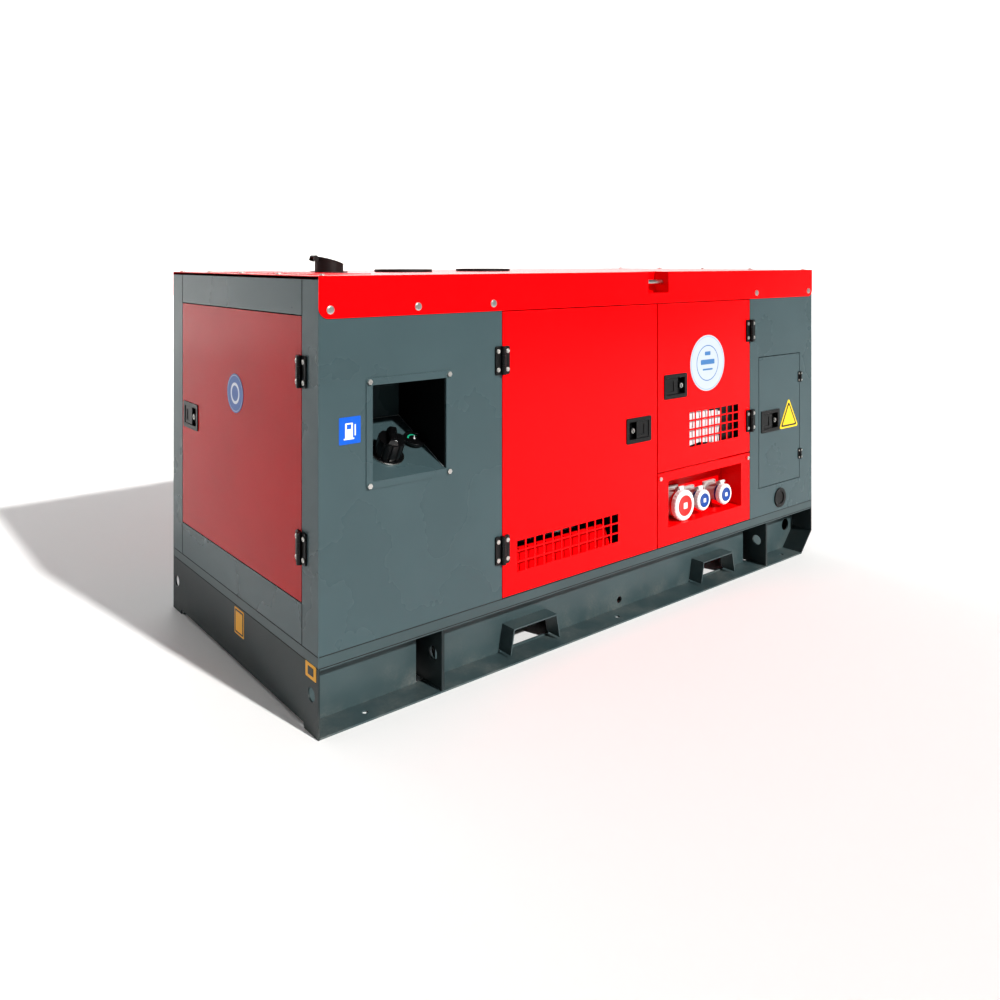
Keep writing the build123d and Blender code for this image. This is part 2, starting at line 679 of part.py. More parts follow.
def recess_outline(plane, grow, lip):
    with BuildSketch(plane) as made:
        with BuildLine():
            Polyline((-half_w - lip, filler_low - grow), (-half_w, filler_low - grow),
                     (-half_w + filler_depth + grow, filler_low + filler_shelf_rise - grow),
                     (-half_w + filler_depth + grow, filler_high + grow), (-half_w - lip, filler_high + grow),
                     close=True)
        make_face()
    return made.sketch


with BuildPart() as filler_recess:
    x0, x1 = from_left(filler_left), from_left(filler_right)
    extrude(recess_outline(Plane.YZ.offset(x0 - sheet), sheet, 0.001), amount=x1 - x0 + 2 * sheet)
    extrude(rect(FRONT, x0 - filler_lip, x1 + filler_lip, filler_low - filler_lip, filler_high + filler_lip, 6),
            amount=sheet)
    extrude(recess_outline(Plane.YZ.offset(x0), 0, 2 * sheet), amount=x1 - x0, mode=Mode.SUBTRACT)
    extrude(disc(slope_plane(cap_from_left, cap_depth, 5), 0, 0, neck_r), amount=-20, mode=Mode.SUBTRACT)
save(filler_recess, "filler_recess")

neck_top = slope_plane(cap_from_left, cap_depth, neck_tall)
with BuildPart() as filler_neck:
    extrude(disc(slope_plane(cap_from_left, cap_depth), 0, 0, neck_r + 12), amount=neck_flange)
    extrude(disc(neck_top, 0, 0, neck_r), amount=-neck_tall - 20)
    hose_start = slope_plane(cap_from_left, cap_depth, -19)
    with BuildLine() as run:
        Spline((hose_start.origin, (from_left(cap_from_left), hose_y, skid_height)),
               tangents=(-hose_start.z_dir, (0, 0, -1)))
    hose_end = Plane(origin=hose_start.origin, z_dir=-hose_start.z_dir)
    sweep(disc(hose_end, 0, 0, hose_r), path=run.line)
    sweep(disc(hose_end, 0, 0, hose_r - neck_wall), path=run.line, mode=Mode.SUBTRACT)
    extrude(disc(neck_top, 0, 0, neck_r - neck_wall), amount=-neck_tall - 17, mode=Mode.SUBTRACT)
save(filler_neck, "filler_neck")

with BuildPart() as fuel_cap:
    foot = slope_plane(cap_from_left, cap_depth, neck_flange + cap_clear)
    extrude(disc(foot, 0, 0, cap_r), amount=cap_tall)
    extrude(disc(foot, 0, 0, neck_r + cap_clear), amount=neck_tall - neck_flange, mode=Mode.SUBTRACT)
    with BuildSketch(foot) as grips:
        with PolarLocations(cap_r, 12):
            Circle(4)
    extrude(grips.sketch, amount=cap_tall, mode=Mode.SUBTRACT)
save(fuel_cap, "fuel_cap")

with BuildPart() as fuel_gauge:
    extrude(disc(slope_plane(gauge_from_left, gauge_depth), 0, 0, gauge_r), amount=gauge_tall)
    dial = slope_plane(gauge_from_left, gauge_depth, gauge_tall)
    extrude(disc(dial, 0, 0, gauge_r - 5), amount=-2, mode=Mode.SUBTRACT)
save(fuel_gauge, "fuel_gauge")

# ---- sockets ----
with BuildPart() as socket_panel:
    fold_pan(FRONT, bay_left + door_gap, bay_right - door_gap, deck + door_gap, socket_panel_top - door_gap,
             post_setback)
    x0, x1 = bay_left + recess_left, bay_left + recess_right
    extrude(rect(FRONT, x0 - sheet, x1 + sheet, recess_low - sheet, recess_high + sheet),
            amount=-recess_depth - sheet)
    extrude(rect(FRONT, x0, x1, recess_low, recess_high), amount=-recess_depth, mode=Mode.SUBTRACT)
save(socket_panel, "socket_panel")

sockets = {"red": (bay_left + red_socket_x, red_lid_r),
           "blue_left": (bay_left + blue_socket_x[0], blue_lid_r),
           "blue_right": (bay_left + blue_socket_x[1], blue_lid_r)}
lid_back = lid_face + lid_thick
ear_in, ear_out = 11.0, 17.0
with BuildPart() as socket_bodies:
    for x, r in sockets.values():
        extrude(rect(FRONT.offset(-recess_depth), x - r, x + r, socket_z - r, socket_z + r, 6), amount=8)
        barrel = disc(FRONT.offset(-recess_depth), x, socket_z, r - 6)
        extrude(barrel, amount=recess_depth - lid_back - lid_gap)
        hollow = disc(FRONT.offset(-lid_back - lid_gap), x, socket_z, r - 12)
        extrude(hollow, amount=lid_back + lid_gap + 14 - recess_depth, mode=Mode.SUBTRACT)
        core = disc(FRONT.offset(-recess_depth), x, socket_z, r - 20)
        extrude(core, amount=recess_depth - lid_back - 10)
        axis_z = socket_z + r + lid_axis_rise
        for side in (-1, 1):
            near, far = sorted((x + side * ear_in, x + side * ear_out))
            ear = rect(FRONT.offset(-lid_back - lid_gap), near, far, socket_z + r - 16, axis_z)
            extrude(ear, amount=-12)
            cheek = Plane(origin=(near, -half_w + lid_back, axis_z), z_dir=(1, 0, 0))
            extrude(disc(cheek, 0, 0, lid_knuckle_r), amount=ear_out - ear_in)
        rod = Plane(origin=(x - ear_out, -half_w + lid_back, axis_z), z_dir=(1, 0, 0))
        extrude(disc(rod, 0, 0, lid_pin_r), amount=2 * ear_out)
save(socket_bodies, "socket_bodies")

for name, (x, r) in sockets.items():
    axis_z = socket_z + r + lid_axis_rise
    knuckle_half = ear_in - lid_gap
    with BuildPart() as lid:
        extrude(disc(FRONT.offset(-lid_back), x, socket_z, r), amount=lid_thick)
        face_edge = lid.faces().sort_by(Axis.Y)[0].edges()
        chamfer(face_edge, 3)
        tab = rect(FRONT.offset(-lid_back), x - knuckle_half, x + knuckle_half, socket_z + r - 10, axis_z)
        extrude(tab, amount=lid_knuckle_r)
        tube = Plane(origin=(x - knuckle_half, -half_w + lid_back, axis_z), z_dir=(1, 0, 0))
        extrude(disc(tube, 0, 0, lid_knuckle_r), amount=2 * knuckle_half)
        extrude(disc(tube, 0, 0, lid_pin_r + pin_clear), amount=2 * knuckle_half, mode=Mode.SUBTRACT)
    save(lid, f"socket_lid_{name}")

# ---- control panel ----
panel_back = post_setback + post_depth
control_low, control_high = 700.0, 1060.0
stop_x = bay_left + 120
stop_z = 960.0
stop_stem_r = 6.0
with BuildPart() as control_panel:
    extrude(rect(FRONT.offset(-panel_back), bay_left, bay_right, control_low, control_high), amount=-sheet)
    box_x0, box_x1 = bay_left + 45, bay_right - 45
    extrude(rect(FRONT.offset(-panel_back), box_x0, box_x1, control_low, control_high), amount=-150)
    inner = rect(FRONT.offset(-panel_back - sheet), box_x0 + sheet, box_x1 - sheet, control_low + sheet,
                 control_high - sheet)
    extrude(inner, amount=2 * sheet - 150, mode=Mode.SUBTRACT)
    extrude(disc(FRONT.offset(-panel_back), stop_x, stop_z, 15), amount=4)
    extrude(disc(FRONT.offset(4 - panel_back), stop_x, stop_z, stop_stem_r + pin_clear), amount=-10,
            mode=Mode.SUBTRACT)
    extrude(rect(FRONT.offset(-panel_back), bay_left + 190, bay_left + 390, 880, 1010, 5), amount=12)
    for x in (bay_left + 120, bay_left + 250, bay_left + 340, bay_left + 430):
        extrude(disc(FRONT.offset(-panel_back), x, 790, 17), amount=14)
save(control_panel, "control_panel")

with BuildPart() as emergency_stop:
    extrude(disc(FRONT.offset(-panel_back - 12), stop_x, stop_z, stop_stem_r), amount=12 + 11)
    extrude(disc(FRONT.offset(11 - panel_back), stop_x, stop_z, 20), amount=10)
    fillet(emergency_stop.faces().sort_by(Axis.Y)[0].edges(), 4)
save(emergency_stop, "emergency_stop")

# ---- terminal cabinet and cable gland ----
with BuildPart() as terminal_cabinet:
    extrude(rect(FRONT.offset(-sheet), cabinet_x0 - sheet, cabinet_x1 + sheet, cabinet_low - sheet,
                 cabinet_high + sheet), amount=-cabinet_depth)
    extrude(rect(FRONT.offset(-sheet), cabinet_x0, cabinet_x1, cabinet_low, cabinet_high),
            amount=sheet - cabinet_depth, mode=Mode.SUBTRACT)
    board_x = (cabinet_x0 + cabinet_x1) / 2
    extrude(rect(FRONT.offset(-cabinet_depth), board_x - 120, board_x + 120, 420, 520), amount=18)
    for column in range(5):
        extrude(disc(FRONT.offset(18 - cabinet_depth), board_x + (column - 2) * 48, 470, 9), amount=26)
    extrude(rect(FRONT.offset(-cabinet_depth), board_x - 80, board_x + 80, 620, 760), amount=70)
    extrude(rect(FRONT.offset(70 - cabinet_depth), board_x - 12, board_x + 12, 670, 710), amount=16)
save(terminal_cabinet, "terminal_cabinet")

with BuildPart() as cable_grommet:
    gx = from_right(cable_hole_inset)
    extrude(disc(FRONT, gx, cable_hole_z, cable_hole_r + grommet_rim), amount=5)
    extrude(disc(FRONT, gx, cable_hole_z, cable_hole_r), amount=-sheet)
    extrude(disc(FRONT.offset(-sheet), gx, cable_hole_z, cable_hole_r + grommet_rim), amount=-4)
    extrude(disc(FRONT.offset(5), gx, cable_hole_z, cable_hole_r - 8), amount=-4, mode=Mode.SUBTRACT)
save(cable_grommet, "cable_grommet")

# ---- engine, generator, cooling, exhaust ----
ex0, ex1 = from_left(engine_left), from_left(engine_right)
gen_x1 = from_left(generator_right)
mount_x = (ex0 + 70, ex1 - 70, gen_x1 - 90)
foot_z = bed_top + mount_tall
bore_end = ex0 + 120
with BuildPart() as engine_block:
    block(ex0, ex1, -engine_half_y, engine_half_y, engine_low, engine_high)
    block(ex0 + 30, ex1 - 30, -engine_half_y + 30, engine_half_y - 30, sump_low, engine_low)
    block(ex0 + 15, ex1 - 15, -engine_half_y + 25, engine_half_y - 25, engine_high, head_top - 50)
    block(ex0 + 35, ex1 - 35, -60, 60, head_top - 50, head_top)
    block(ex0 + 30, ex1 - 30, engine_half_y - 25, engine_half_y + 30, 790, 835)
    for x in mount_x[:2]:
        for side in (-1, 1):
            y0, y1 = sorted((side * (engine_half_y - 35), side * (bed_y + mount_r)))
            block(x - 30, x + 30, y0, y1, foot_z, foot_z + foot_thick)
            y0, y1 = sorted((side * (engine_half_y - 35), side * (engine_half_y + 10)))
            block(x - 30, x + 30, y0, y1, foot_z, engine_low + 30)
    bore = Plane(origin=(ex0, 0, shaft_z), z_dir=(1, 0, 0))
    extrude(disc(bore, 0, 0, shaft_r + pin_clear), amount=bore_end - ex0, mode=Mode.SUBTRACT)
save(engine_block, "engine_block")

with BuildPart() as generator:
    axis = Plane(origin=(ex1, 0, shaft_z), z_dir=(1, 0, 0))
    extrude(disc(axis, 0, 0, generator_r), amount=gen_x1 - ex1)
    for face in (generator.faces().sort_by(Axis.X)[0], generator.faces().sort_by(Axis.X)[-1]):
        chamfer(face.edges(), 18)
    block(gen_x1 - 260, gen_x1 - 20, -130, 130, shaft_z + generator_r - 60, shaft_z + generator_r + 90)
    for side in (-1, 1):
        y0, y1 = sorted((side * 60, side * (bed_y + mount_r)))
        block(mount_x[2] - 40, mount_x[2] + 40, y0, y1, foot_z, foot_z + foot_thick)
        y0, y1 = sorted((side * 90, side * 120))
        block(mount_x[2] - 40, mount_x[2] + 40, y0, y1, foot_z, shaft_z - 100)
save(generator, "generator")

with BuildPart() as engine_mounts:
    for x in mount_x:
        for side in (-1, 1):
            extrude(disc(Plane.XY.offset(bed_top), x, side * bed_y, mount_r), amount=mount_tall)
save(engine_mounts, "engine_mounts")

rad_x0 = from_left(radiator_from_left)
rad_x1 = rad_x0 + radiator_depth
ring_r = fan_r + fan_clear
with BuildPart() as radiator:
    block(rad_x0, rad_x1, -radiator_half_y, radiator_half_y, bed_top, radiator_top)
    block(rad_x0, rad_x0 + 8, -radiator_half_y + 35, radiator_half_y - 35, bed_top + 60, radiator_top - 70,
          Mode.SUBTRACT)
    block(rad_x1, rad_x1 + shroud_depth, -radiator_half_y + 30, radiator_half_y - 30, bed_top + 30,
          radiator_top - 60)
    block(rad_x1, rad_x1 + shroud_depth - sheet, -radiator_half_y + 30 + sheet, radiator_half_y - 30 - sheet,
          bed_top + 30 + sheet, radiator_top - 60 - sheet, Mode.SUBTRACT)
    opening = Plane(origin=(rad_x1 + 10, 0, shaft_z), z_dir=(1, 0, 0))
    extrude(disc(opening, 0, 0, ring_r), amount=shroud_depth + 20, mode=Mode.SUBTRACT)
save(radiator, "radiator")

fan_x = rad_x1 + shroud_depth - 30
blades = 6
with BuildPart() as cooling_fan:
    hub = Plane(origin=(fan_x - 25, 0, shaft_z), z_dir=(1, 0, 0))
    extrude(disc(hub, 0, 0, 60), amount=50)
    for number in range(blades):
        turn = 360 / blades * number
        blade_plane = Plane(origin=(fan_x, 0, shaft_z), x_dir=(1, 0, 0), z_dir=(0, 0, 1))
        blade_plane = Plane(blade_plane.location * Rotation(turn, 0, 0) * Rotation(0, 0, 32))
        extrude(rect(blade_plane.offset(45), -3, 3, -45, 45), amount=fan_r - 55)
    extrude(disc(hub, 0, 0, shaft_r), amount=50, mode=Mode.SUBTRACT)
save(cooling_fan, "cooling_fan")

with BuildPart() as crankshaft:
    nose = Plane(origin=(fan_x - 25, 0, shaft_z), z_dir=(1, 0, 0))
    extrude(disc(nose, 0, 0, shaft_r), amount=bore_end - 5 - fan_x + 25)
    pulley = Plane(origin=(ex0 - 40, 0, shaft_z), z_dir=(1, 0, 0))
    extrude(disc(pulley, 0, 0, 85), amount=30)
save(crankshaft, "crankshaft")

with BuildPart() as silencer:
    drum = Plane(origin=(exhaust_x, -silencer_half_y, silencer_z), z_dir=(0, 1, 0))
    extrude(disc(drum, 0, 0, silencer_r), amount=2 * silencer_half_y)
    chamfer(silencer.faces().sort_by(Axis.Y)[0].edges(), 10)
    chamfer(silencer.faces().sort_by(Axis.Y)[-1].edges(), 10)
    extrude(disc(Plane.XY.offset(silencer_z), exhaust_x, 0, pipe_r), amount=stub_low - silencer_z)
    extrude(disc(Plane.XY.offset(835), exhaust_x, engine_half_y, 22), amount=silencer_z - 835)
save(silencer, "silencer")

with BuildPart() as battery:
    block(600, 880, -bed_y - bed_half, bed_y + bed_half, bed_top, bed_top + 4)
    block(620, 860, -180, 0, bed_top + 4, bed_top + 200)
    for y in (-140, -40):
        extrude(disc(Plane.XY.offset(bed_top + 200), 650, y, 10), amount=18)
save(battery, "battery")

# ---- screws ----
screw_r = 8.0
screw_tall = 5.0
edge_bolt_y = 255.0
with BuildPart() as canopy_screws:
    heads = []
    for wall in (FRONT.offset(sheet), REAR.offset(sheet)):
        sense = 1 if wall.z_dir.Y < 0 else -1
        heads += [(wall, sense * x, flange_bolt_z) for x in flange_bolt_x]
    inset = filler_lip / 2
    heads += [(FRONT.offset(sheet), x, z)
              for x in (from_left(filler_left) - inset, from_left(filler_right) + inset)
              for z in (filler_low - inset, filler_high + inset)]
    heads += [(FRONT, x, recess_high + 14) for x in (bay_left + 16, bay_right - 16)]
    heads += [(Plane.XY.offset(height), x, number * edge_bolt_y)
              for x in (from_left(25), from_right(25)) for number in range(-2, 3)]
    for plane, x, z in heads:
        with BuildSketch(plane) as head:
            with Locations((x, z)):
                RegularPolygon(screw_r, 6)
        extrude(head.sketch, amount=screw_tall)
save(canopy_screws, "canopy_screws")
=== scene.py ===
from math import atan2, cos, pi, radians, sin

import bmesh
import bpy
from mathutils import Matrix, Vector


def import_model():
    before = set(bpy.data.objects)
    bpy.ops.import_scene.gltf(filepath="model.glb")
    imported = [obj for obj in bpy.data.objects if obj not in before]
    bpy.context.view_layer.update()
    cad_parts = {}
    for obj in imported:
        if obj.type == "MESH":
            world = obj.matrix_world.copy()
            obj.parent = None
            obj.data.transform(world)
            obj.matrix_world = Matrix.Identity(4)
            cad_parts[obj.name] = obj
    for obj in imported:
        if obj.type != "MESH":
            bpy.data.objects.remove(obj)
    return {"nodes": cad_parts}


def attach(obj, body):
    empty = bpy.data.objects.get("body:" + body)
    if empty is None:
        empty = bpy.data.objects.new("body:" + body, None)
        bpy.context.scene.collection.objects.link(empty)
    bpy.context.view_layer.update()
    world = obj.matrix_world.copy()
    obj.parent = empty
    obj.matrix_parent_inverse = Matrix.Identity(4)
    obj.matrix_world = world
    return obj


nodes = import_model()["nodes"]
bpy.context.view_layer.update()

# The set stands on the floor, its service side faces -Y and its radiator end faces -X. Lengths are in metres.
LENGTH = 2.380
WIDTH = 1.070
HEIGHT = 1.200
FRONT_FACE = -WIDTH / 2
LEFT_FACE = -LENGTH / 2
SHEET = 0.0025
END_POST = 0.445
SKID_TOP = 0.184
DECK = 0.214
EAVE = 1.088

BEVEL_OVER = radians(35)
SMOOTH_UNDER = radians(38)
SOFT_UNDER = radians(40)


# ---------------------------------------------------------------- shared effects

def new_group(name, inputs, outputs):
    """A node group that takes and gives plain numbers, its input and output nodes in place."""
    group = bpy.data.node_groups.new(name, "ShaderNodeTree")
    for label, value in inputs.items():
        socket = group.interface.new_socket(name=label, in_out="INPUT", socket_type="NodeSocketFloat")
        socket.default_value = value
    for label in outputs:
        group.interface.new_socket(name=label, in_out="OUTPUT", socket_type="NodeSocketFloat")
    return group, group.nodes.new("NodeGroupInput"), group.nodes.new("NodeGroupOutput")


def add(tree, kind, **settings):
    """A new node with its settings."""
    node = tree.nodes.new(kind)
    for name, value in settings.items():
        setattr(node, name, value)
    return node


def feed(tree, socket, value):
    """Links a socket to another socket, or gives it a plain value."""
    if hasattr(value, "links"):
        tree.links.new(value, socket)
    else:
        socket.default_value = value


def maths(tree, operation, first, second):
    """A Math node fed by sockets or by plain numbers."""
    node = add(tree, "ShaderNodeMath", operation=operation)
    feed(tree, node.inputs[0], first)
    feed(tree, node.inputs[1], second)
    return node.outputs[0]


def object_place(tree):
    """The object coordinates that every texture here is laid out in."""
    return add(tree, "ShaderNodeTexCoord").outputs["Object"]


def mix_colour(tree, factor, first, second):
    """A blend of two colours, each a socket or a plain colour."""
    node = add(tree, "ShaderNodeMix", data_type="RGBA")
    tree.links.new(factor, node.inputs["Factor"])
    for socket, value in ((node.inputs[6], first), (node.inputs[7], second)):
        if hasattr(value, "links"):
            tree.links.new(value, socket)
        else:
            socket.default_value = (*value, 1)
    return node.outputs[2]


def ramp(tree, factor, low, high):
    """A soft threshold between two positions."""
    node = add(tree, "ShaderNodeMapRange", interpolation_type="SMOOTHSTEP")
    node.inputs["From Min"].default_value = low
    node.inputs["From Max"].default_value = high
    tree.links.new(factor, node.inputs["Value"])
    return node.outputs["Result"]


def noise(tree, scale, detail, place, roughness=0.5):
    """A noise value at the given coordinates."""
    node = add(tree, "ShaderNodeTexNoise")
    feed(tree, node.inputs["Scale"], scale)
    node.inputs["Detail"].default_value = detail
    node.inputs["Roughness"].default_value = roughness
    tree.links.new(place, node.inputs["Vector"])
    return node.outputs["Fac"]


def make_road_dust():
    """Pale dust that settles on upward faces and lies thicker towards the ground."""
    group, given, result = new_group("road_dust", {"Amount": 0.5, "Reach": 0.3}, ["Mask"])
    place = object_place(group)
    apart = add(group, "ShaderNodeSeparateXYZ")
    group.links.new(place, apart.inputs[0])
    normal = add(group, "ShaderNodeSeparateXYZ")
    group.links.new(add(group, "ShaderNodeNewGeometry").outputs["Normal"], normal.inputs[0])
    upward = ramp(group, normal.outputs["Z"], 0.6, 1.0)
    low = maths(group, "DIVIDE", apart.outputs["Z"], given.outputs["Reach"])
    low = ramp(group, low, 1.0, 0.0)
    where = maths(group, "MAXIMUM", maths(group, "MULTIPLY", upward, 0.55), low)
    cloud = ramp(group, noise(group, 9.0, 6.0, place), 0.38, 0.72)
    speck = ramp(group, noise(group, 120.0, 4.0, place), 0.35, 0.75)
    both = maths(group, "MULTIPLY", cloud, maths(group, "ADD", maths(group, "MULTIPLY", speck, 0.6), 0.4))
    mask = maths(group, "MULTIPLY", maths(group, "MULTIPLY", both, where), given.outputs["Amount"])
    group.links.new(mask, result.inputs["Mask"])
    return group


def make_coat_texture():
    """The fine orange peel of powder coat, and a slow cloud for its tone."""
    group, given, result = new_group("coat_texture", {"Peel Scale": 260.0, "Peel": 0.3}, ["Height", "Cloud"])
    place = object_place(group)
    peel = noise(group, given.outputs["Peel Scale"], 2.0, place)
    group.links.new(maths(group, "MULTIPLY", peel, given.outputs["Peel"]), result.inputs["Height"])
    group.links.new(noise(group, 3.5, 4.0, place), result.inputs["Cloud"])
    return group


def make_scuffs():
    """Short rubbed marks and worn patches."""
    group, given, result = new_group("scuffs", {"Scale": 30.0, "Amount": 0.4}, ["Mask"])
    stretch = add(group, "ShaderNodeMapping")
    stretch.inputs["Scale"].default_value = (1.0, 1.0, 0.3)
    group.links.new(object_place(group), stretch.inputs["Vector"])
    grain = noise(group, given.outputs["Scale"], 8.0, stretch.outputs[0], roughness=0.7)
    mask = ramp(group, grain, 0.6, 0.72)
    group.links.new(maths(group, "MULTIPLY", mask, given.outputs["Amount"]), result.inputs["Mask"])
    return group


ROAD_DUST = make_road_dust()
COAT_TEXTURE = make_coat_texture()
SCUFFS = make_scuffs()
WORN_ROUGHER = 0.15
DUSTY_ROUGHER = 0.4


def use_group(tree, group, **values):
    """A node that uses a group, with its inputs set by name."""
    node = add(tree, "ShaderNodeGroup", node_tree=group)
    for name, value in values.items():
        node.inputs[name.replace("_", " ")].default_value = value
    return node


def bump(tree, height, strength, distance):
    """A normal from a height."""
    node = add(tree, "ShaderNodeBump")
    node.inputs["Strength"].default_value = strength
    node.inputs["Distance"].default_value = distance
    tree.links.new(height, node.inputs["Height"])
    return node.outputs["Normal"]


def finish(name, colour, rough, metal=0.0, coat=0.0, variation=0.12, rough_spread=0.06, peel_scale=260.0,
           peel=0.3, bump_by=0.12, dust=0.25, dust_reach=0.25, worn=None, worn_amount=0.0, worn_scale=30.0,
           depth=0.0006, dust_tone=(0.33, 0.31, 0.28), gleam=0.5):
    """A painted, moulded or metal surface with its own cloudiness, grain, dust and wear."""
    made = bpy.data.materials.new(name)
    made.use_nodes = True
    tree = made.node_tree
    shader = tree.nodes["Principled BSDF"]
    texture = use_group(tree, COAT_TEXTURE, Peel_Scale=peel_scale, Peel=peel)
    cloud = texture.outputs["Cloud"]
    dark = tuple(c * (1 - variation) for c in colour)
    light = tuple(min(1.0, c * (1 + variation)) for c in colour)
    colour_now = mix_colour(tree, ramp(tree, cloud, 0.3, 0.7), dark, light)
    roughness = maths(tree, "ADD", maths(tree, "MULTIPLY", cloud, 2 * rough_spread), rough - rough_spread)
    if worn is not None:
        rubbed = use_group(tree, SCUFFS, Scale=worn_scale, Amount=worn_amount).outputs["Mask"]
        colour_now = mix_colour(tree, rubbed, colour_now, worn)
        roughness = maths(tree, "ADD", roughness, maths(tree, "MULTIPLY", rubbed, WORN_ROUGHER))
    if dust:
        dirty = use_group(tree, ROAD_DUST, Amount=dust, Reach=dust_reach).outputs["Mask"]
        colour_now = mix_colour(tree, dirty, colour_now, dust_tone)
        roughness = maths(tree, "ADD", roughness, maths(tree, "MULTIPLY", dirty, DUSTY_ROUGHER))
    tree.links.new(colour_now, shader.inputs["Base Color"])
    tree.links.new(roughness, shader.inputs["Roughness"])
    tree.links.new(bump(tree, texture.outputs["Height"], bump_by, depth), shader.inputs["Normal"])
    shader.inputs["Metallic"].default_value = metal
    shader.inputs["Coat Weight"].default_value = coat
    shader.inputs["Coat Roughness"].default_value = 0.06
    shader.inputs["Specular IOR Level"].default_value = gleam
    return made


def ridged(name, colour, rough, axis, spacing, metal):
    """A surface with fine parallel ridges across one axis, such as fins."""
    made = finish(name, colour, rough, metal=metal, dust=0.2)
    tree = made.node_tree
    waves = add(tree, "ShaderNodeTexWave", wave_type="BANDS", bands_direction=axis, wave_profile="SIN")
    waves.inputs["Scale"].default_value = 1 / (spacing * pi)
    tree.links.new(object_place(tree), waves.inputs["Vector"])
    ridges = bump(tree, waves.outputs["Fac"], strength=0.6, distance=0.002)
    tree.links.new(ridges, tree.nodes["Principled BSDF"].inputs["Normal"])
    return made


def ringed(name, centre, bands, ground, across="Y"):
    """A printed disc: each band is (outer radius, colour), from the middle out, over the ground colour."""
    made = finish(name, ground, 0.35, dust=0.0, variation=0.04, bump_by=0.03)
    tree = made.node_tree
    keep = (0 if across == "X" else 1, 0 if across == "Y" else 1, 1)
    place = add(tree, "ShaderNodeMapping", vector_type="POINT")
    place.inputs["Location"].default_value = [-c * k for c, k in zip(centre, keep)]
    place.inputs["Scale"].default_value = keep
    tree.links.new(object_place(tree), place.inputs["Vector"])
    far = add(tree, "ShaderNodeVectorMath", operation="LENGTH")
    tree.links.new(place.outputs[0], far.inputs[0])
    socket = tree.nodes["Principled BSDF"].inputs["Base Color"]
    colour_now = socket.links[0].from_socket
    blur = 0.0006
    for radius, colour in reversed(bands):
        inside = ramp(tree, far.outputs["Value"], radius + blur, radius - blur)
        colour_now = mix_colour(tree, inside, colour_now, colour)
    tree.links.new(colour_now, socket)
    return made


RED = (0.84, 0.0006, 0.0032)
GREY = (0.058, 0.092, 0.100)
red_coat = finish("red_powder_coat", RED, 0.22, variation=0.04, rough_spread=0.03, dust=0.03, gleam=0.16)
# Painted shade: the radiator end door gets a darker, browner copy of the red paint, for the shade on that end.
shaded_end_red = finish("end_door_painted_shade_coat", (0.46, 0.0040, 0.0055), 0.16, variation=0.05, rough_spread=0.02, dust=0.02,
                 gleam=0.16)
shield_red = finish("inner_red_coat", RED, 0.6, variation=0.05, dust=0.05, gleam=0.04)
# Painted shade: a near-black sheet for the side walls and roof of the filler recess, where shade falls.
shade_coat = finish("recess_painted_shade", (0.0035, 0.0055, 0.0060), 0.7, variation=0.2, peel_scale=300.0, dust=0.0,
                    gleam=0.1)
# Painted highlight: a pale grey for the strip along the shelf fold in the filler recess.
highlight_coat = finish("painted_highlight_fold", (0.30, 0.34, 0.35), 0.35, variation=0.1, dust=0.05)
grey_coat = finish("grey_powder_coat", GREY, 0.28, variation=0.05, dust=0.05, gleam=0.35)
skid_coat = finish("skid_paint", (0.052, 0.080, 0.085), 0.34, variation=0.07, peel_scale=200.0,
                   dust=0.30, dust_reach=0.13, worn=(0.11, 0.11, 0.10), worn_amount=0.12, gleam=0.4)
# Painted shade: a darker copy of the skid paint for the end plates and lifting plates, which face away from the sun;
# its dust and wear are real.
shaded_skid_coat = finish("skid_painted_shade_coat", (0.020, 0.030, 0.032), 0.36, variation=0.07, peel_scale=200.0, dust=0.12,
                   dust_reach=0.13, worn=(0.07, 0.07, 0.065), worn_amount=0.12, gleam=0.3)
black_coat = finish("black_hardware_coat", (0.005, 0.0056, 0.006), 0.34, variation=0.2, dust=0.03,
                    worn=(0.05, 0.05, 0.048), worn_amount=0.2, worn_scale=90.0, gleam=0.4)
zinc = finish("zinc_plate", (0.70, 0.69, 0.66), 0.28, metal=1.0, variation=0.15, peel_scale=500.0, dust=0.1,
              worn=(0.36, 0.32, 0.26), worn_amount=0.25, worn_scale=120.0)
black_plastic = finish("black_moulding", (0.005, 0.0052, 0.0058), 0.30, variation=0.15, peel_scale=900.0, peel=0.8,
                       bump_by=0.25, depth=0.0003, dust=0.03)
gloss_black = finish("gloss_black_moulding", (0.006, 0.0062, 0.0068), 0.16, variation=0.15, peel_scale=900.0,
                     dust=0.0, bump_by=0.08, gleam=0.7)
lid_white = finish("white_socket_moulding", (0.78, 0.79, 0.79), 0.33, variation=0.03, dust=0.05, bump_by=0.05)
socket_red = finish("red_socket_moulding", (0.62, 0.02, 0.018), 0.3, variation=0.05, dust=0.04, bump_by=0.05)
socket_blue = finish("blue_socket_moulding", (0.003, 0.060, 0.31), 0.3, variation=0.05, dust=0.04, bump_by=0.05)
socket_body = finish("grey_socket_moulding", (0.42, 0.43, 0.42), 0.4, variation=0.05, dust=0.1)
rubber = finish("black_rubber", (0.008, 0.0085, 0.0088), 0.62, variation=0.25, peel_scale=400.0, peel=0.9,
                bump_by=0.3, dust=0.15, dust_reach=0.2)
tank_moulding = finish("tank_moulding", (0.02, 0.02, 0.021), 0.5, variation=0.15, dust=0.5)
engine_paint = finish("engine_paint", (0.028, 0.036, 0.045), 0.42, metal=0.2, variation=0.3, peel_scale=90.0,
                      peel=1.4, bump_by=0.5, depth=0.0012, dust=0.3, worn=(0.16, 0.15, 0.14), worn_amount=0.25)
generator_paint = finish("generator_paint", (0.13, 0.15, 0.16), 0.4, variation=0.12, peel_scale=120.0, peel=1.0,
                         bump_by=0.35, dust=0.3)
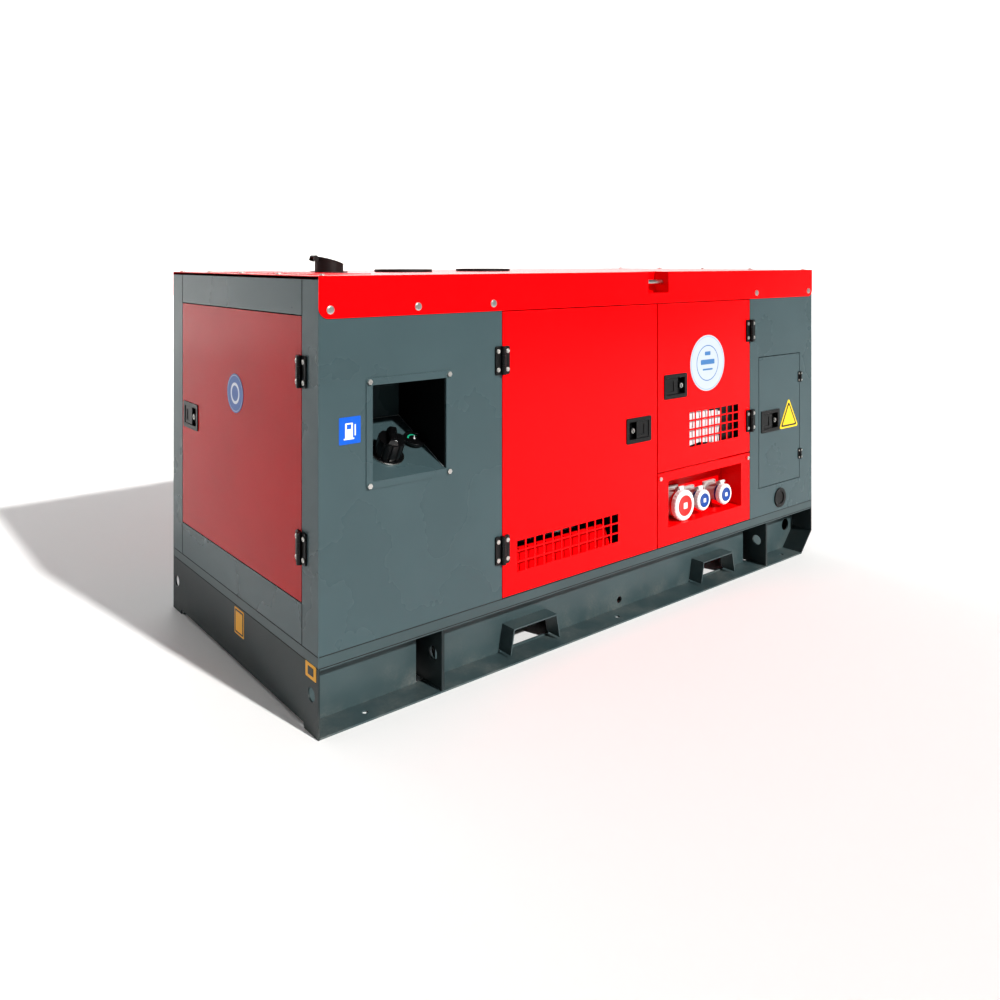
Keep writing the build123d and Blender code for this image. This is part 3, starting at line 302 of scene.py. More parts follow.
exhaust_paint = finish("heat_proof_black", (0.006, 0.006, 0.006), 0.5, variation=0.35, peel_scale=220.0, peel=1.0,
                       bump_by=0.4, dust=0.06, worn=(0.06, 0.035, 0.02), worn_amount=0.2, worn_scale=60.0)
fan_plastic = finish("fan_moulding", (0.55, 0.54, 0.48), 0.45, variation=0.06, dust=0.3)
panel_dark = finish("textured_dark_panel", (0.03, 0.032, 0.035), 0.55, variation=0.1, peel_scale=700.0, peel=1.2,
                    bump_by=0.5, dust=0.1)
stop_red = finish("stop_button_red", (0.62, 0.012, 0.01), 0.28, coat=0.4, variation=0.04, dust=0.05)
radiator_fins = ridged("radiator_fins", (0.016, 0.016, 0.017), 0.5, axis="Z",
                        spacing=0.008, metal=0.3)
foam = finish("sound_foam", (0.035, 0.036, 0.038), 0.95, variation=0.3, peel_scale=55.0, peel=3.0, bump_by=1.0,
              depth=0.004, dust=0.1)
seal_rubber = finish("door_seal", (0.01, 0.01, 0.01), 0.8, variation=0.2, peel_scale=350.0, peel=1.0, dust=0.1)
paper = finish("printed_sheets", (0.66, 0.67, 0.68), 0.6, variation=0.06, dust=0.0, bump_by=0.1)
brass = finish("brass", (0.62, 0.42, 0.14), 0.3, metal=1.0, variation=0.15, dust=0.05)
yellow_plate = finish("yellow_plate", (0.80, 0.58, 0.015), 0.4, variation=0.05, dust=0.05, bump_by=0.03)
black_print = finish("black_print", (0.014, 0.014, 0.014), 0.4, variation=0.1, dust=0.03, bump_by=0.03)
blue_plate = finish("blue_plate", (0.0, 0.11, 0.58), 0.35, variation=0.05, dust=0.04, bump_by=0.03)
blue_print = finish("blue_print", (0.06, 0.19, 0.42), 0.4, variation=0.04, dust=0.0, bump_by=0.03)
white_print = finish("white_print", (0.78, 0.79, 0.80), 0.4, variation=0.04, dust=0.03, bump_by=0.03)
amber_plate = finish("amber_plate", (0.74, 0.36, 0.012), 0.45, variation=0.08, dust=0.2, bump_by=0.03)
dial_green = finish("dial_green", (0.02, 0.42, 0.24), 0.4, variation=0.06, dust=0.0, bump_by=0.02)
screen_dark = finish("screen", (0.012, 0.03, 0.025), 0.12, variation=0.1, dust=0.0, bump_by=0.02)
lead_red = finish("red_cable_jacket", (0.5, 0.012, 0.01), 0.4, variation=0.08, dust=0.1)
filter_white = finish("filter_can", (0.55, 0.56, 0.57), 0.3, variation=0.05, dust=0.15)

CAD_FINISH = (
    (red_coat, "roof roof_grille main_door control_door rear_door socket_panel rear_service_panel right_end_panel"),
    # The radiator door takes the darker red as painted shade.
    (shaded_end_red, "radiator_door"),
    (grey_coat, "terminal_door canopy_frame door_posts front_left_panel front_right_panel rear_panels filler_recess "
                "terminal_cabinet"),
    (skid_coat, "sill_frame front_skid_rail rear_skid_rail skid_cross_members fork_pocket_guides engine_bed_rails"),
    # The skid end plates and lifting plates take the darker skid paint as painted shade.
    (shaded_skid_coat, "skid_end_plates lifting_plates"),
    (zinc, "lifting_eyes canopy_screws crankshaft"),
    (rubber, "roof_rings cable_grommet engine_mounts"),
    (exhaust_paint, "exhaust_stub rain_flap silencer"),
    (black_plastic, "filler_neck fuel_cap fuel_gauge battery"),
    (lid_white, "socket_lid_red socket_lid_blue_left socket_lid_blue_right"),
    (tank_moulding, "fuel_tank"), (socket_body, "socket_bodies"), (panel_dark, "control_panel"),
    (stop_red, "emergency_stop"), (engine_paint, "engine_block"), (generator_paint, "generator"),
    (radiator_fins, "radiator"), (fan_plastic, "cooling_fan"),
)
finish_of = {name: material for material, names in CAD_FINISH for name in names.split()}
for node_name, node in nodes.items():
    node.data.materials.clear()
    node.data.materials.append(finish_of.get(node_name, black_coat))


# ---------------------------------------------------------------- modelling by hand

def pick_nothing():
    """Object mode, with nothing selected."""
    if bpy.context.object and bpy.context.object.mode != "OBJECT":
        bpy.ops.object.mode_set(mode="OBJECT")
    bpy.ops.object.select_all(action="DESELECT")


def start_block(low, high):
    """A block between two corners, made active, with its place in its mesh."""
    pick_nothing()
    low, high = Vector(low), Vector(high)
    bpy.ops.mesh.primitive_cube_add(size=1, location=(low + high) / 2, scale=high - low)
    bpy.ops.object.transform_apply(location=True, rotation=True, scale=True)
    return bpy.context.object


def start_round(radius, depth, centre, turn=(0, 0, 0), *, sides):
    """A round bar about its centre, made active, with its place in its mesh."""
    pick_nothing()
    bpy.ops.mesh.primitive_cylinder_add(vertices=sides, radius=radius, depth=depth, location=centre, rotation=turn)
    bpy.ops.object.transform_apply(location=True, rotation=True, scale=True)
    return bpy.context.object


def start_disc(radius, thick, sides):
    """A round plate lying flat on the origin."""
    return start_round(radius, thick, (0, 0, thick / 2), sides=sides)


def move(piece, way):
    """Moves a piece's mesh along a vector."""
    piece.data.transform(Matrix.Translation(way))


def edit_parts(piece, kind, chosen):
    """Opens edit mode with only the faces or edges that match."""
    bpy.context.view_layer.objects.active = piece
    bpy.ops.object.mode_set(mode="EDIT")
    bpy.ops.mesh.select_mode(type=kind)
    bpy.ops.mesh.select_all(action="DESELECT")
    work = bmesh.from_edit_mesh(piece.data)
    for part in work.faces if kind == "FACE" else work.edges:
        part.select_set(bool(chosen(part)))
    bmesh.update_edit_mesh(piece.data)


def edit_faces(piece, chosen):
    """Opens edit mode with only the faces that match, by centre and normal."""
    edit_parts(piece, "FACE", lambda face: chosen(face.calc_center_median(), face.normal))


def edit_edges(piece, chosen):
    """Opens edit mode with only the edges that match."""
    edit_parts(piece, "EDGE", chosen)


def extrude(push):
    """Extrudes the selected faces along a vector."""
    bpy.ops.mesh.extrude_region_move(TRANSFORM_OT_translate={"value": push})


def leave_edit():
    bpy.ops.object.mode_set(mode="OBJECT")


def push_faces(piece, chosen, push, scale=None):
    """Extrudes the matching faces along a vector, and scales their new ends if asked."""
    edit_faces(piece, chosen)
    extrude(push)
    if scale:
        bpy.ops.transform.resize(value=scale)
    leave_edit()


def inset_and_push(piece, chosen, thickness, push):
    """Insets the matching faces and moves the inner faces along a vector, as a rim or a dish."""
    edit_faces(piece, chosen)
    bpy.ops.mesh.inset(thickness=thickness)
    extrude(push)
    leave_edit()


def dish(piece, thickness, rise):
    """Insets a piece's upper face and moves its middle up, or down when the rise is negative."""
    inset_and_push(piece, lambda c, n: n.z > 0.9, thickness, (0, 0, rise))
    return piece


def on_rim(edge):
    return edge.is_boundary


def open_middle(piece, width):
    """Leaves a rim of the given width of a flat piece, open through its middle."""
    edit_faces(piece, lambda c, n: abs(n.z) > 0.9)
    bpy.ops.mesh.inset(thickness=width)
    bpy.ops.mesh.delete(type="FACE")
    leave_edit()
    edit_edges(piece, on_rim)
    bpy.ops.mesh.bridge_edge_loops()
    leave_edit()


def round_corners(piece, thick, corner, segments):
    """Rounds the upright edges of a plate that lies flat."""
    edit_edges(piece, lambda edge: abs((edge.verts[0].co - edge.verts[1].co).z) > thick * 0.9)
    bpy.ops.mesh.bevel(offset=corner, segments=segments)
    leave_edit()
    return piece


def round_edges(piece, width, segments):
    """Bevels every sharp edge and smooths the piece."""
    bpy.context.view_layer.objects.active = piece
    soft = piece.modifiers.new("rounded_edges", "BEVEL")
    soft.width = width
    soft.segments = segments
    soft.limit_method = "ANGLE"
    soft.angle_limit = BEVEL_OVER
    bpy.ops.object.modifier_apply(modifier=soft.name)
    piece.select_set(True)
    bpy.ops.object.shade_smooth_by_angle(angle=SMOOTH_UNDER)
    return piece


def copy_piece(piece):
    """A copy with its own mesh."""
    double = piece.copy()
    double.data = piece.data.copy()
    bpy.context.scene.collection.objects.link(double)
    return double


def join(pieces):
    """One object from many, made active."""
    pick_nothing()
    for piece in pieces:
        piece.select_set(True)
    bpy.context.view_layer.objects.active = pieces[0]
    if len(pieces) > 1:
        bpy.ops.object.join()
    return bpy.context.object


def settle(piece, name, material, body="enclosure"):
    """Names a finished piece, gives it its finish and lets it ride on its body."""
    piece.name = name
    piece.data.name = name
    piece.data.materials.clear()
    piece.data.materials.append(material)
    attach(piece, body)
    return piece


TO_FRONT = Matrix.Rotation(pi / 2, 4, "X")
WALLS = {
    "front": Matrix.Translation((0, -WIDTH / 2, 0)) @ TO_FRONT,
    "left": Matrix.Translation((-LENGTH / 2, 0, 0)) @ Matrix.Rotation(-pi / 2, 4, "Z") @ TO_FRONT,
    "right": Matrix.Translation((LENGTH / 2, 0, 0)) @ Matrix.Rotation(pi / 2, 4, "Z") @ TO_FRONT,
    "rear": Matrix.Translation((0, WIDTH / 2, 0)) @ Matrix.Rotation(pi, 4, "Z") @ TO_FRONT,
}


def hang(piece, wall, x=0.0, z=0.0, out=0.0):
    """Moves a piece modelled lying flat on to a wall: its x along the wall, its y up, its z outwards."""
    piece.data.transform(WALLS[wall] @ Matrix.Translation((x, z, out)))
    return piece


def spread(piece, places, wall):
    """Copies a flat piece to each place on a wall and joins the copies."""
    copies = [hang(copy_piece(piece), wall, *place) for place in places]
    bpy.data.objects.remove(piece)
    return join(copies)


def screw_head(radius, tall):
    """A low round head with a socket for its key."""
    head = start_disc(radius, tall, sides=20)
    dish(head, radius * 0.4, -tall * 0.55)
    return round_edges(head, radius * 0.12, 2)


def plate(width, tall, thick, corner):
    """A thin plate lying flat with rounded corners."""
    piece = start_block((-width / 2, -tall / 2, 0), (width / 2, tall / 2, thick))
    return round_corners(piece, thick, corner, 5)


def tube_along(points, radius):
    """A bent pipe or hose of even radius through the points, turned into a mesh."""
    pick_nothing()
    curve = bpy.data.curves.new("run", "CURVE")
    curve.dimensions = "3D"
    line = curve.splines.new("NURBS")
    line.points.add(len(points) - 1)
    for point, place in zip(line.points, points):
        point.co = (*place, 1)
    line.order_u = 3
    line.use_endpoint_u = True
    curve.bevel_depth = radius
    curve.bevel_resolution = 5
    curve.resolution_u = 10
    curve.use_fill_caps = True
    piece = bpy.data.objects.new("run", curve)
    bpy.context.scene.collection.objects.link(piece)
    piece.select_set(True)
    bpy.context.view_layer.objects.active = piece
    bpy.ops.object.convert(target="MESH")
    bpy.ops.object.shade_smooth_by_angle(angle=SOFT_UNDER)
    return bpy.context.object


# ---------------------------------------------------------------- doors: seals, screws, latches, foam
# name: wall, low x, high x, low z, high z along the wall, hinge side, hinge inset, latch inset, hinge scale
MAIN_LEFT = LEFT_FACE + 0.626
BAY_LEFT = -LEFT_FACE - 1.024
BAY_RIGHT = -LEFT_FACE - 0.456
END_DOOR_LOW = 0.325
END_DOOR_HIGH = 1.094
DOORS = {
    "main_door": ("front", MAIN_LEFT, BAY_LEFT, DECK, EAVE, -1, 0.150, 0.101, 1.0),
    "control_door": ("front", BAY_LEFT, BAY_RIGHT, 0.482, EAVE, 1, 0.125, 0.101, 1.0),
    "terminal_door": ("front", 0.794, 1.096, 0.325, 0.853, 1, 0.102, 0.082, 0.5),
    "radiator_door": ("left", -END_POST, END_POST, END_DOOR_LOW, END_DOOR_HIGH, 1, 0.150, 0.082, 1.0),
    "rear_door": ("rear", -BAY_LEFT, -MAIN_LEFT, DECK, EAVE, 1, 0.150, 0.101, 1.0),
}
LATCH_HALF = 0.065
HINGE_SCREW_REACH = 0.0185
HINGE_SCREW_HALF = 0.028
SEAL_BACK = -0.0266


def hinge_places(door, side_of_leaf):
    """Where the screws of each leaf sit: -1 is the door's own leaf and 1 is the frame's."""
    _, x0, x1, z0, z1, side, inset, _, scale = DOORS[door]
    hinge_x = x1 if side > 0 else x0
    middle = hinge_x + side_of_leaf * side * HINGE_SCREW_REACH * scale
    out = 0.005 * scale
    return [(middle, z + lift * HINGE_SCREW_HALF * scale, out)
            for z in (z0 + inset, z1 - inset) for lift in (-1, 1)]


def make_hinge_screws():
    """Two screws in each leaf of each door's two hinges."""
    for door, (wall, *_, scale) in DOORS.items():
        radius = 0.0062 * scale + 0.0008
        for side_of_leaf, name, body in ((-1, "hinge", door), (1, "frame", "enclosure")):
            piece = spread(screw_head(radius, 0.003), hinge_places(door, side_of_leaf), wall)
            settle(piece, f"{door}_{name}_screws", zinc, body)


def make_latch_trim():
    """The key barrel's metal face and its slot on each latch."""
    for door, (wall, x0, x1, z0, z1, side, _, latch_in, _) in DOORS.items():
        x = x0 + latch_in if side > 0 else x1 - latch_in
        z = (z0 + z1) / 2
        key_x = x + side * (LATCH_HALF - 0.014) * 0.62
        face = start_disc(0.0085, 0.002, sides=32)
        dish(face, 0.0018, -0.0008)
        round_edges(face, 0.0004, 2)
        hang(face, wall, key_x, z, 0.001)
        slot = start_block((-0.0009, -0.005, 0), (0.0009, 0.005, 0.0016))
        dish(slot, 0.0003, -0.0006)
        hang(slot, wall, key_x, z, 0.0018)
        settle(face, f"{door}_key_face", zinc, door)
        settle(slot, f"{door}_key_slot", black_print, door)


def make_door_seals():
    """A strip of rubber around each opening, just behind the closed door's folded edge."""
    edge, thick, wide = 0.004, 0.0012, 0.010
    for door, (wall, x0, x1, z0, z1, *_) in DOORS.items():
        strip = start_block((x0 + edge, z0 + edge, 0), (x1 - edge, z1 - edge, thick))
        open_middle(strip, wide)
        hang(strip, wall, 0, 0, SEAL_BACK)
        round_edges(strip, 0.0004, 2)
        settle(strip, f"{door}_seal", seal_rubber, door)


def make_door_foam():
    """Sound foam stuck inside each big door, cut back around the latch and the air grille."""
    pads = {
        "main_door": (MAIN_LEFT + 0.03, BAY_LEFT - 0.19, 0.45, EAVE - 0.04),
        "control_door": (BAY_LEFT + 0.19, BAY_RIGHT - 0.04, 0.73, EAVE - 0.04),
        "radiator_door": (-0.21, 0.41, 0.36, 1.06),
        "rear_door": (-BAY_LEFT + 0.19, -MAIN_LEFT - 0.03, 0.45, EAVE - 0.04),
    }
    for door, (x0, x1, z0, z1) in pads.items():
        pad = start_block((x0, z0, -0.022), (x1, z1, -0.003))
        bpy.ops.object.mode_set(mode="EDIT")
        bpy.ops.mesh.select_all(action="SELECT")
        bpy.ops.mesh.subdivide(number_cuts=9)
        leave_edit()
        cloud = bpy.data.textures.new(f"{door}_foam_cloud", "CLOUDS")
        cloud.noise_scale = 0.05
        quilting = pad.modifiers.new("quilting", "DISPLACE")
        quilting.texture = cloud
        quilting.strength = 0.003
        quilting.mid_level = 1.0
        bpy.ops.object.modifier_apply(modifier=quilting.name)
        settle(hang(pad, DOORS[door][0]), f"{door}_foam", foam, door)


# ---------------------------------------------------------------- plates and marks, all without lettering

MARK = 0.0007
LAYER = 0.0004


def round_mark(radius, sides):
    """A thin disc whose rim stands a little below its face."""
    return dish(start_disc(radius, 0.0008, sides), 0.002, 0.0002)


def make_round_marks():
    """The white disc with a thin ring and plain bars, and the blue disc with a white ring."""
    pale, line, faint = (0.50, 0.56, 0.62), (0.05, 0.16, 0.42), (0.22, 0.34, 0.55)
    x, z = LEFT_FACE + 1.648, 0.855
    white_disc = ringed("round_plate_print", (x, 0, z),
                        [(0.0640, pale), (0.0672, line), (0.0980, pale), (0.0998, faint)], pale)
    settle(hang(round_mark(0.105, 96), "front", x, z, 0), "control_door_round_mark", white_disc,
           "control_door")
    bars = []
    for lift, wide, tall, corner in ((0.036, 0.034, 0.014, 0.003), (0.004, 0.084, 0.018, 0.003),
                                     (-0.024, 0.060, 0.006, 0.002)):
        bars.append(hang(plate(wide, tall, LAYER, corner), "front", x, z + lift, 0.0010))
    settle(join(bars), "control_door_mark_bars", blue_print, "control_door")
    deep, bright, edge = (0.02, 0.10, 0.36), (0.66, 0.70, 0.78), (0.45, 0.52, 0.66)
    y, z = -0.009, 0.832
    blue_disc = ringed("end_mark_print", (0, y, z), [(0.024, deep), (0.033, bright), (0.054, deep), (0.056, edge)],
                       deep, across="X")
    settle(hang(round_mark(0.060, 80), "left", -y, z, 0), "radiator_door_round_mark", blue_disc,
           "radiator_door")


def rounded_triangle(radius, thick, corner):
    """A thin triangle lying flat with its point up and its corners rounded."""
    return round_corners(start_disc(radius, thick, sides=3), thick, corner, 6)


def pump_sign():
    """A plain pump shape: its body, its foot and the pipe at its side."""
    sign = plate(0.024, 0.040, LAYER, 0.002)
    foot = plate(0.032, 0.004, LAYER, 0.001)
    move(foot, (0, -0.022, 0))
    pipe = plate(0.004, 0.030, LAYER, 0.001)
    move(pipe, (0.019, 0.0, 0))
    return join([sign, foot, pipe])


def make_flat_marks():
    """A warning triangle, a fuel sign and two amber plates, each built up from thin plain layers."""
    x, z = 1.012, 0.587
    door = "terminal_door"
    for radius, thick, corner, out, part, material, slot in (
            (0.083, MARK, 0.016, 0, "", yellow_plate, "yellow_marks"),
            (0.068, LAYER, 0.011, MARK, "_line", black_print, "black_plastic"),
            (0.055, LAYER, 0.007, 0.0011, "_field", yellow_plate, "yellow_marks")):
        layer = rounded_triangle(radius, thick, corner)
        settle(hang(layer, "front", x, z, out), f"{door}_triangle{part}", material, door)
    x, z = LEFT_FACE + 0.094, 0.790
    for piece, wall, spot, name, material, slot in (
            (plate(0.066, 0.072, MARK, 0.003), "front", (x, z, 0), "fuel_mark", blue_plate, "blue_marks"),
            (pump_sign(), "front", (x - 0.003, z, MARK), "fuel_mark_sign", white_print, "white_marks"),
            (plate(0.013, 0.012, 0.0003, 0.001), "front", (x - 0.003, z + 0.010, 0.0011), "fuel_mark_window",
             blue_plate, "blue_marks"),
            (plate(0.068, 0.080, MARK, 0.003), "left", (0.039, 0.138, 0), "skid_end_mark", amber_plate,
             "yellow_marks"),
            (dish(plate(0.058, 0.070, LAYER, 0.003), 0.004, -0.0002), "left", (0.039, 0.138, MARK),
             "skid_end_mark_line", black_print, "black_plastic"),
            (plate(0.048, 0.060, LAYER, 0.002), "left", (0.039, 0.138, 0.0009), "skid_end_mark_field", amber_plate,
             "yellow_marks"),
            (plate(0.058, 0.040, MARK, 0.003), "left", (0.495, 0.165, 0), "skid_corner_mark", amber_plate,
             "yellow_marks"),
            (plate(0.030, 0.022, LAYER, 0.002), "left", (0.495, 0.165, MARK), "skid_corner_mark_field",
             black_print, "black_plastic")):
        settle(hang(piece, wall, *spot), name, material)


# ---------------------------------------------------------------- behind the grilles

LOW_GRILLE = 0.293
LOW_GRILLE_Z = 0.330
BAY_GRILLE_Z = 0.616


def make_grille_backs():
    """The sloping red deflector behind each low grille, and the sheets kept behind the control door's grille."""
    for door, wall, x in (("main_door", "front", MAIN_LEFT + LOW_GRILLE),
                          ("rear_door", "rear", -MAIN_LEFT - LOW_GRILLE)):
        shield = start_block((-0.252, -0.068, -0.0255), (0.218, 0.007, -0.0240))
        for corner in shield.data.vertices:
            if corner.co.x > 0.2 and corner.co.y > 0:
                corner.co.x = 0.188
        push_faces(shield, lambda c, n: n.y < -0.9, (0, -0.012, 0.020))
        push_faces(shield, lambda c, n: n.y > 0.9, (0, 0.005, -0.014))
        round_edges(shield, 0.0005, 2)
        settle(hang(shield, wall, x, LOW_GRILLE_Z, 0), f"{door}_air_shield", shield_red, door)
    sheets = []
    for number, (x, z, turn, wide, tall) in enumerate((
            (-0.070, 0.004, 5, 0.17, 0.125), (0.028, -0.006, -7, 0.12, 0.118), (-0.02, 0.0, 2, 0.2, 0.10))):
        pick_nothing()
        bpy.ops.mesh.primitive_grid_add(x_subdivisions=16, y_subdivisions=12, size=1)
        leaf = bpy.context.object
        for point in leaf.data.vertices:
            u, v = point.co.x, point.co.y
            point.co = (u * wide, v * tall, 0.002 * sin(u * 7 + number) * cos(v * 4) + 0.0012 * sin(v * 9))
        body = leaf.modifiers.new("leaf", "SOLIDIFY")
        body.thickness = 0.0006
        bpy.ops.object.modifier_apply(modifier=body.name)
        tilt = Matrix.Rotation(radians(turn), 4, "Z")
        leaf.data.transform(Matrix.Translation((x, z, -0.012 - 0.0022 * number)) @ tilt)
        sheets.append(leaf)
    folder = join(sheets)
    bpy.ops.object.shade_smooth_by_angle(angle=SOFT_UNDER)
    settle(hang(folder, "front", BAY_LEFT + 0.300, BAY_GRILLE_Z, 0), "manual_sheets", paper,
           "control_door")
    sleeve = start_block((-0.16, -0.075, -0.0215), (0.16, 0.07, -0.0205))
    dish(sleeve, 0.006, -0.0004)
    settle(hang(sleeve, "front", BAY_LEFT + 0.320, BAY_GRILLE_Z, 0), "manual_pocket", black_plastic,
           "control_door")


# ---------------------------------------------------------------- fuel filling

SHELF_RISE = 0.120
SHELF_DEPTH = 0.240
SHELF_FRONT_Z = 0.643
SLOPE = atan2(SHELF_RISE, SHELF_DEPTH)
CAP_SPOT = (0.268, 0.086)
GAUGE_SPOT = (0.380, 0.117)


def lie_on_slope(piece, distance, depth, rise=0.0):
    """Puts a flat piece on the sloping shelf of the filler recess."""
    foot = Vector((LEFT_FACE + distance, FRONT_FACE + depth, SHELF_FRONT_Z + SHELF_RISE * depth / SHELF_DEPTH))
    up = Vector((0, -sin(SLOPE), cos(SLOPE)))
    piece.data.transform(Matrix.Translation(foot + up * rise) @ Matrix.Rotation(SLOPE, 4, "X"))
    return piece


def make_recess_painted_shade():
    """Painted shade: a near-black sheet on the side walls and the roof of the filler recess, where shade falls, and
    a painted highlight strip along the fold round its shelf.
    """
    left, right, top = LEFT_FACE + 0.1668, LEFT_FACE + 0.4102, 0.9002
    front, back = FRONT_FACE + 0.0035, FRONT_FACE + 0.2372
    shade_sheet = start_block((left, front, 0.640), (right, back, top))
    for corner in shade_sheet.data.vertices:
        if corner.co.z < 0.7:
            corner.co.z = SHELF_FRONT_Z + 0.001 + (corner.co.y - FRONT_FACE) * SHELF_RISE / SHELF_DEPTH
    edit_faces(shade_sheet, lambda c, n: abs(n.y) > 0.9 or n.z < -0.5)
    bpy.ops.mesh.delete(type="FACE")
    leave_edit()
    wall = shade_sheet.modifiers.new("shade_sheet", "SOLIDIFY")
    wall.thickness = 0.002
    wall.offset = 1
    bpy.ops.object.modifier_apply(modifier=wall.name)
    settle(shade_sheet, "filler_recess_painted_shade", shade_coat)
    shelf_back = 0.7625
    corner = (right - 0.002, back - 0.003, shelf_back)
    # Painted highlight: a pale tube along the shelf's back and right edges.
    fold = tube_along([(left + 0.001, back - 0.003, shelf_back), corner, corner,
                       (right - 0.002, front + 0.002, 0.6475)], 0.0011)
    settle(fold, "filler_shelf_painted_highlight", highlight_coat)


def make_filler_trim():
    """The cap's grip bar, the ring it seats on, and the fuel gauge's bezel, green scale and needle."""
    cap_top = 0.0045 + 0.052
    bar = start_block((-0.015, -0.037, 0), (0.015, 0.037, 0.006))
    push_faces(bar, lambda c, n: n.z > 0.9, (0, 0, 0.012), scale=(0.62, 0.92, 1))
    bar.data.transform(Matrix.Rotation(radians(-28), 4, "Z"))
    round_edges(bar, 0.003, 4)
    settle(lie_on_slope(bar, *CAP_SPOT, cap_top), "fuel_cap_grip", gloss_black, "fuel_cap")
    rim = start_disc(0.0495, 0.004, sides=64)
    dish(rim, 0.004, -0.0012)
    round_edges(rim, 0.0009, 2)
    settle(lie_on_slope(rim, *CAP_SPOT, 0.0003), "filler_seat_ring", zinc)
    bezel = start_disc(0.0335, 0.007, sides=64)
    dish(bezel, 0.0050, -0.0030)
    round_edges(bezel, 0.0010, 3)
    settle(lie_on_slope(bezel, *GAUGE_SPOT, 0.009), "fuel_gauge_bezel", gloss_black)
    arc = []
    for step in range(9):
        tick = plate(0.0058, 0.0050, 0.0004, 0.0008)
        turn = Matrix.Rotation(radians(62 - step * 14), 4, "Z")
        tick.data.transform(turn @ Matrix.Translation((0, 0.0190, 0)))
        arc.append(tick)
    settle(lie_on_slope(join(arc), *GAUGE_SPOT, 0.0131), "fuel_gauge_scale", dial_green)
    needle = plate(0.0018, 0.018, 0.0006, 0.0004)
    needle.data.transform(Matrix.Rotation(radians(-32), 4, "Z") @ Matrix.Translation((0, 0.0065, 0)))
    hub = start_disc(0.0032, 0.001, sides=20)
    settle(lie_on_slope(join([needle, hub]), *GAUGE_SPOT, 0.0137), "fuel_gauge_needle", white_print)


# ---------------------------------------------------------------- sockets

SOCKET_Z = 0.336
LID_OUT = -0.012
COLLAR_OUT = -0.0385
PIN_OUT = -0.048
SOCKET_SCREW_OUT = -0.086
# name: x, lid radius, pins, pin radius, colour, slot
SOCKETS = {
    "red": (0.340, 0.056, 5, 0.0030, socket_red, "socket_red"),
    "blue_left": (0.456, 0.0385, 3, 0.0024, socket_blue, "socket_blue"),
    "blue_right": (0.592, 0.0385, 3, 0.0024, socket_blue, "socket_blue"),
}


def make_lid_trim(body, x, radius, colour):
    """The coloured centre of a lid, its white square and the ribs round its edge, clear of the hinge."""
    centre = start_disc(radius * 0.67, 0.0022, sides=64)
    dish(centre, 0.003, -0.0008)
    round_edges(centre, 0.0006, 2)
    settle(hang(centre, "front", x, SOCKET_Z, LID_OUT), f"{body}_centre", colour, body)
    square = plate(radius * 0.40, radius * 0.40, 0.0009, 0.003)
    dish(square, 0.002, -0.0003)
    settle(hang(square, "front", x, SOCKET_Z, LID_OUT + 0.0014), f"{body}_square", white_print, body)
    ribs = []
    for step in range(2, 23):
        rib = start_block((-0.0016, 0, -0.014), (0.0016, 0.0022, -0.003))
        turn = Matrix.Rotation(step * pi / 12, 4, "Z")
        rib.data.transform(turn @ Matrix.Translation((0, radius - 0.0008, 0)))
        ribs.append(rib)
    ribs = round_edges(join(ribs), 0.0005, 2)
    settle(hang(ribs, "front", x, SOCKET_Z, LID_OUT), f"{body}_ribs", lid_white, body)


def make_socket_trim():
    """Each lid's trim, and behind it the socket's collar, screws and contact pins."""
    for name, (x, radius, pin_count, pin_radius, colour, slot) in SOCKETS.items():
        make_lid_trim(f"socket_lid_{name}", x, radius, colour)
        collar = start_round(radius - 0.0035, 0.008, (0, 0, 0), sides=64)
        open_middle(collar, 0.0025)
        round_edges(collar, 0.0006, 2)
        settle(hang(collar, "front", x, SOCKET_Z, COLLAR_OUT), f"socket_{name}_collar", colour)
        away = radius - 0.006
        places = [(x + dx * away, SOCKET_Z + dz * away, SOCKET_SCREW_OUT) for dx in (-1, 1) for dz in (-1, 1)]
        settle(spread(screw_head(0.0036, 0.0022), places, "front"), f"socket_{name}_screws", zinc)
        pins = []
        for number in range(pin_count):
            turn, reach = number * 2 * pi / pin_count + pi / 2, 0.5 * (radius - 0.022)
            pins.append(start_round(pin_radius, 0.020, (reach * cos(turn), reach * sin(turn), 0.0), sides=16))
        pins = round_edges(join(pins), 0.0006, 2)
        settle(hang(pins, "front", x, SOCKET_Z, PIN_OUT), f"socket_{name}_pins", brass)


# ---------------------------------------------------------------- screws, roof

FLANGE_SCREW_Z = 1.111


def dished_washer():
    """A round washer with a raised middle."""
    return dish(start_disc(0.0115, 0.0016, sides=32), 0.0022, 0.0005)


def make_roof_trim():
    """A washer under each roof screw, and a stepped cap on each of the two roof rings."""
    washers = []
    flange_screws = (LEFT_FACE + 0.034, LEFT_FACE + 0.314, LEFT_FACE + 0.591, -LEFT_FACE - 0.414,
                     -LEFT_FACE - 0.030)
    for wall, sense in (("front", 1), ("rear", -1)):
        washers.append(spread(dished_washer(), [(sense * x, FLANGE_SCREW_Z, SHEET) for x in flange_screws], wall))
    for x in (LEFT_FACE + 0.025, -LEFT_FACE - 0.025):
        for number in range(-2, 3):
            washer = dished_washer()
            move(washer, (x, number * 0.255, HEIGHT))
            washers.append(washer)
    settle(round_edges(join(washers), 0.0004, 2), "roof_washers", zinc)
    for number, distance in enumerate((0.630, 0.994)):
        cap = start_disc(0.084, 0.004, sides=72)
        for step in range(4):
            inset_and_push(cap, lambda c, n: n.z > 0.9 and c.xy.length < 0.09 - 0.018 * step, 0.007,
                           (0, 0, 0.0015 if step % 2 else -0.0015))
        round_edges(cap, 0.0006, 2)
        move(cap, (LEFT_FACE + distance, 0, HEIGHT + 0.005))
        settle(cap, f"roof_ring_{number + 1}_cap", rubber)


def seam(wall, x0, x1, z0, z1):
    """A fine raised line of sealer with a sunken middle."""
    line = start_block((x0, z0, 0), (x1, z1, 0.0004))
    dish(line, 0.0004, -0.0002)
    return hang(line, wall)


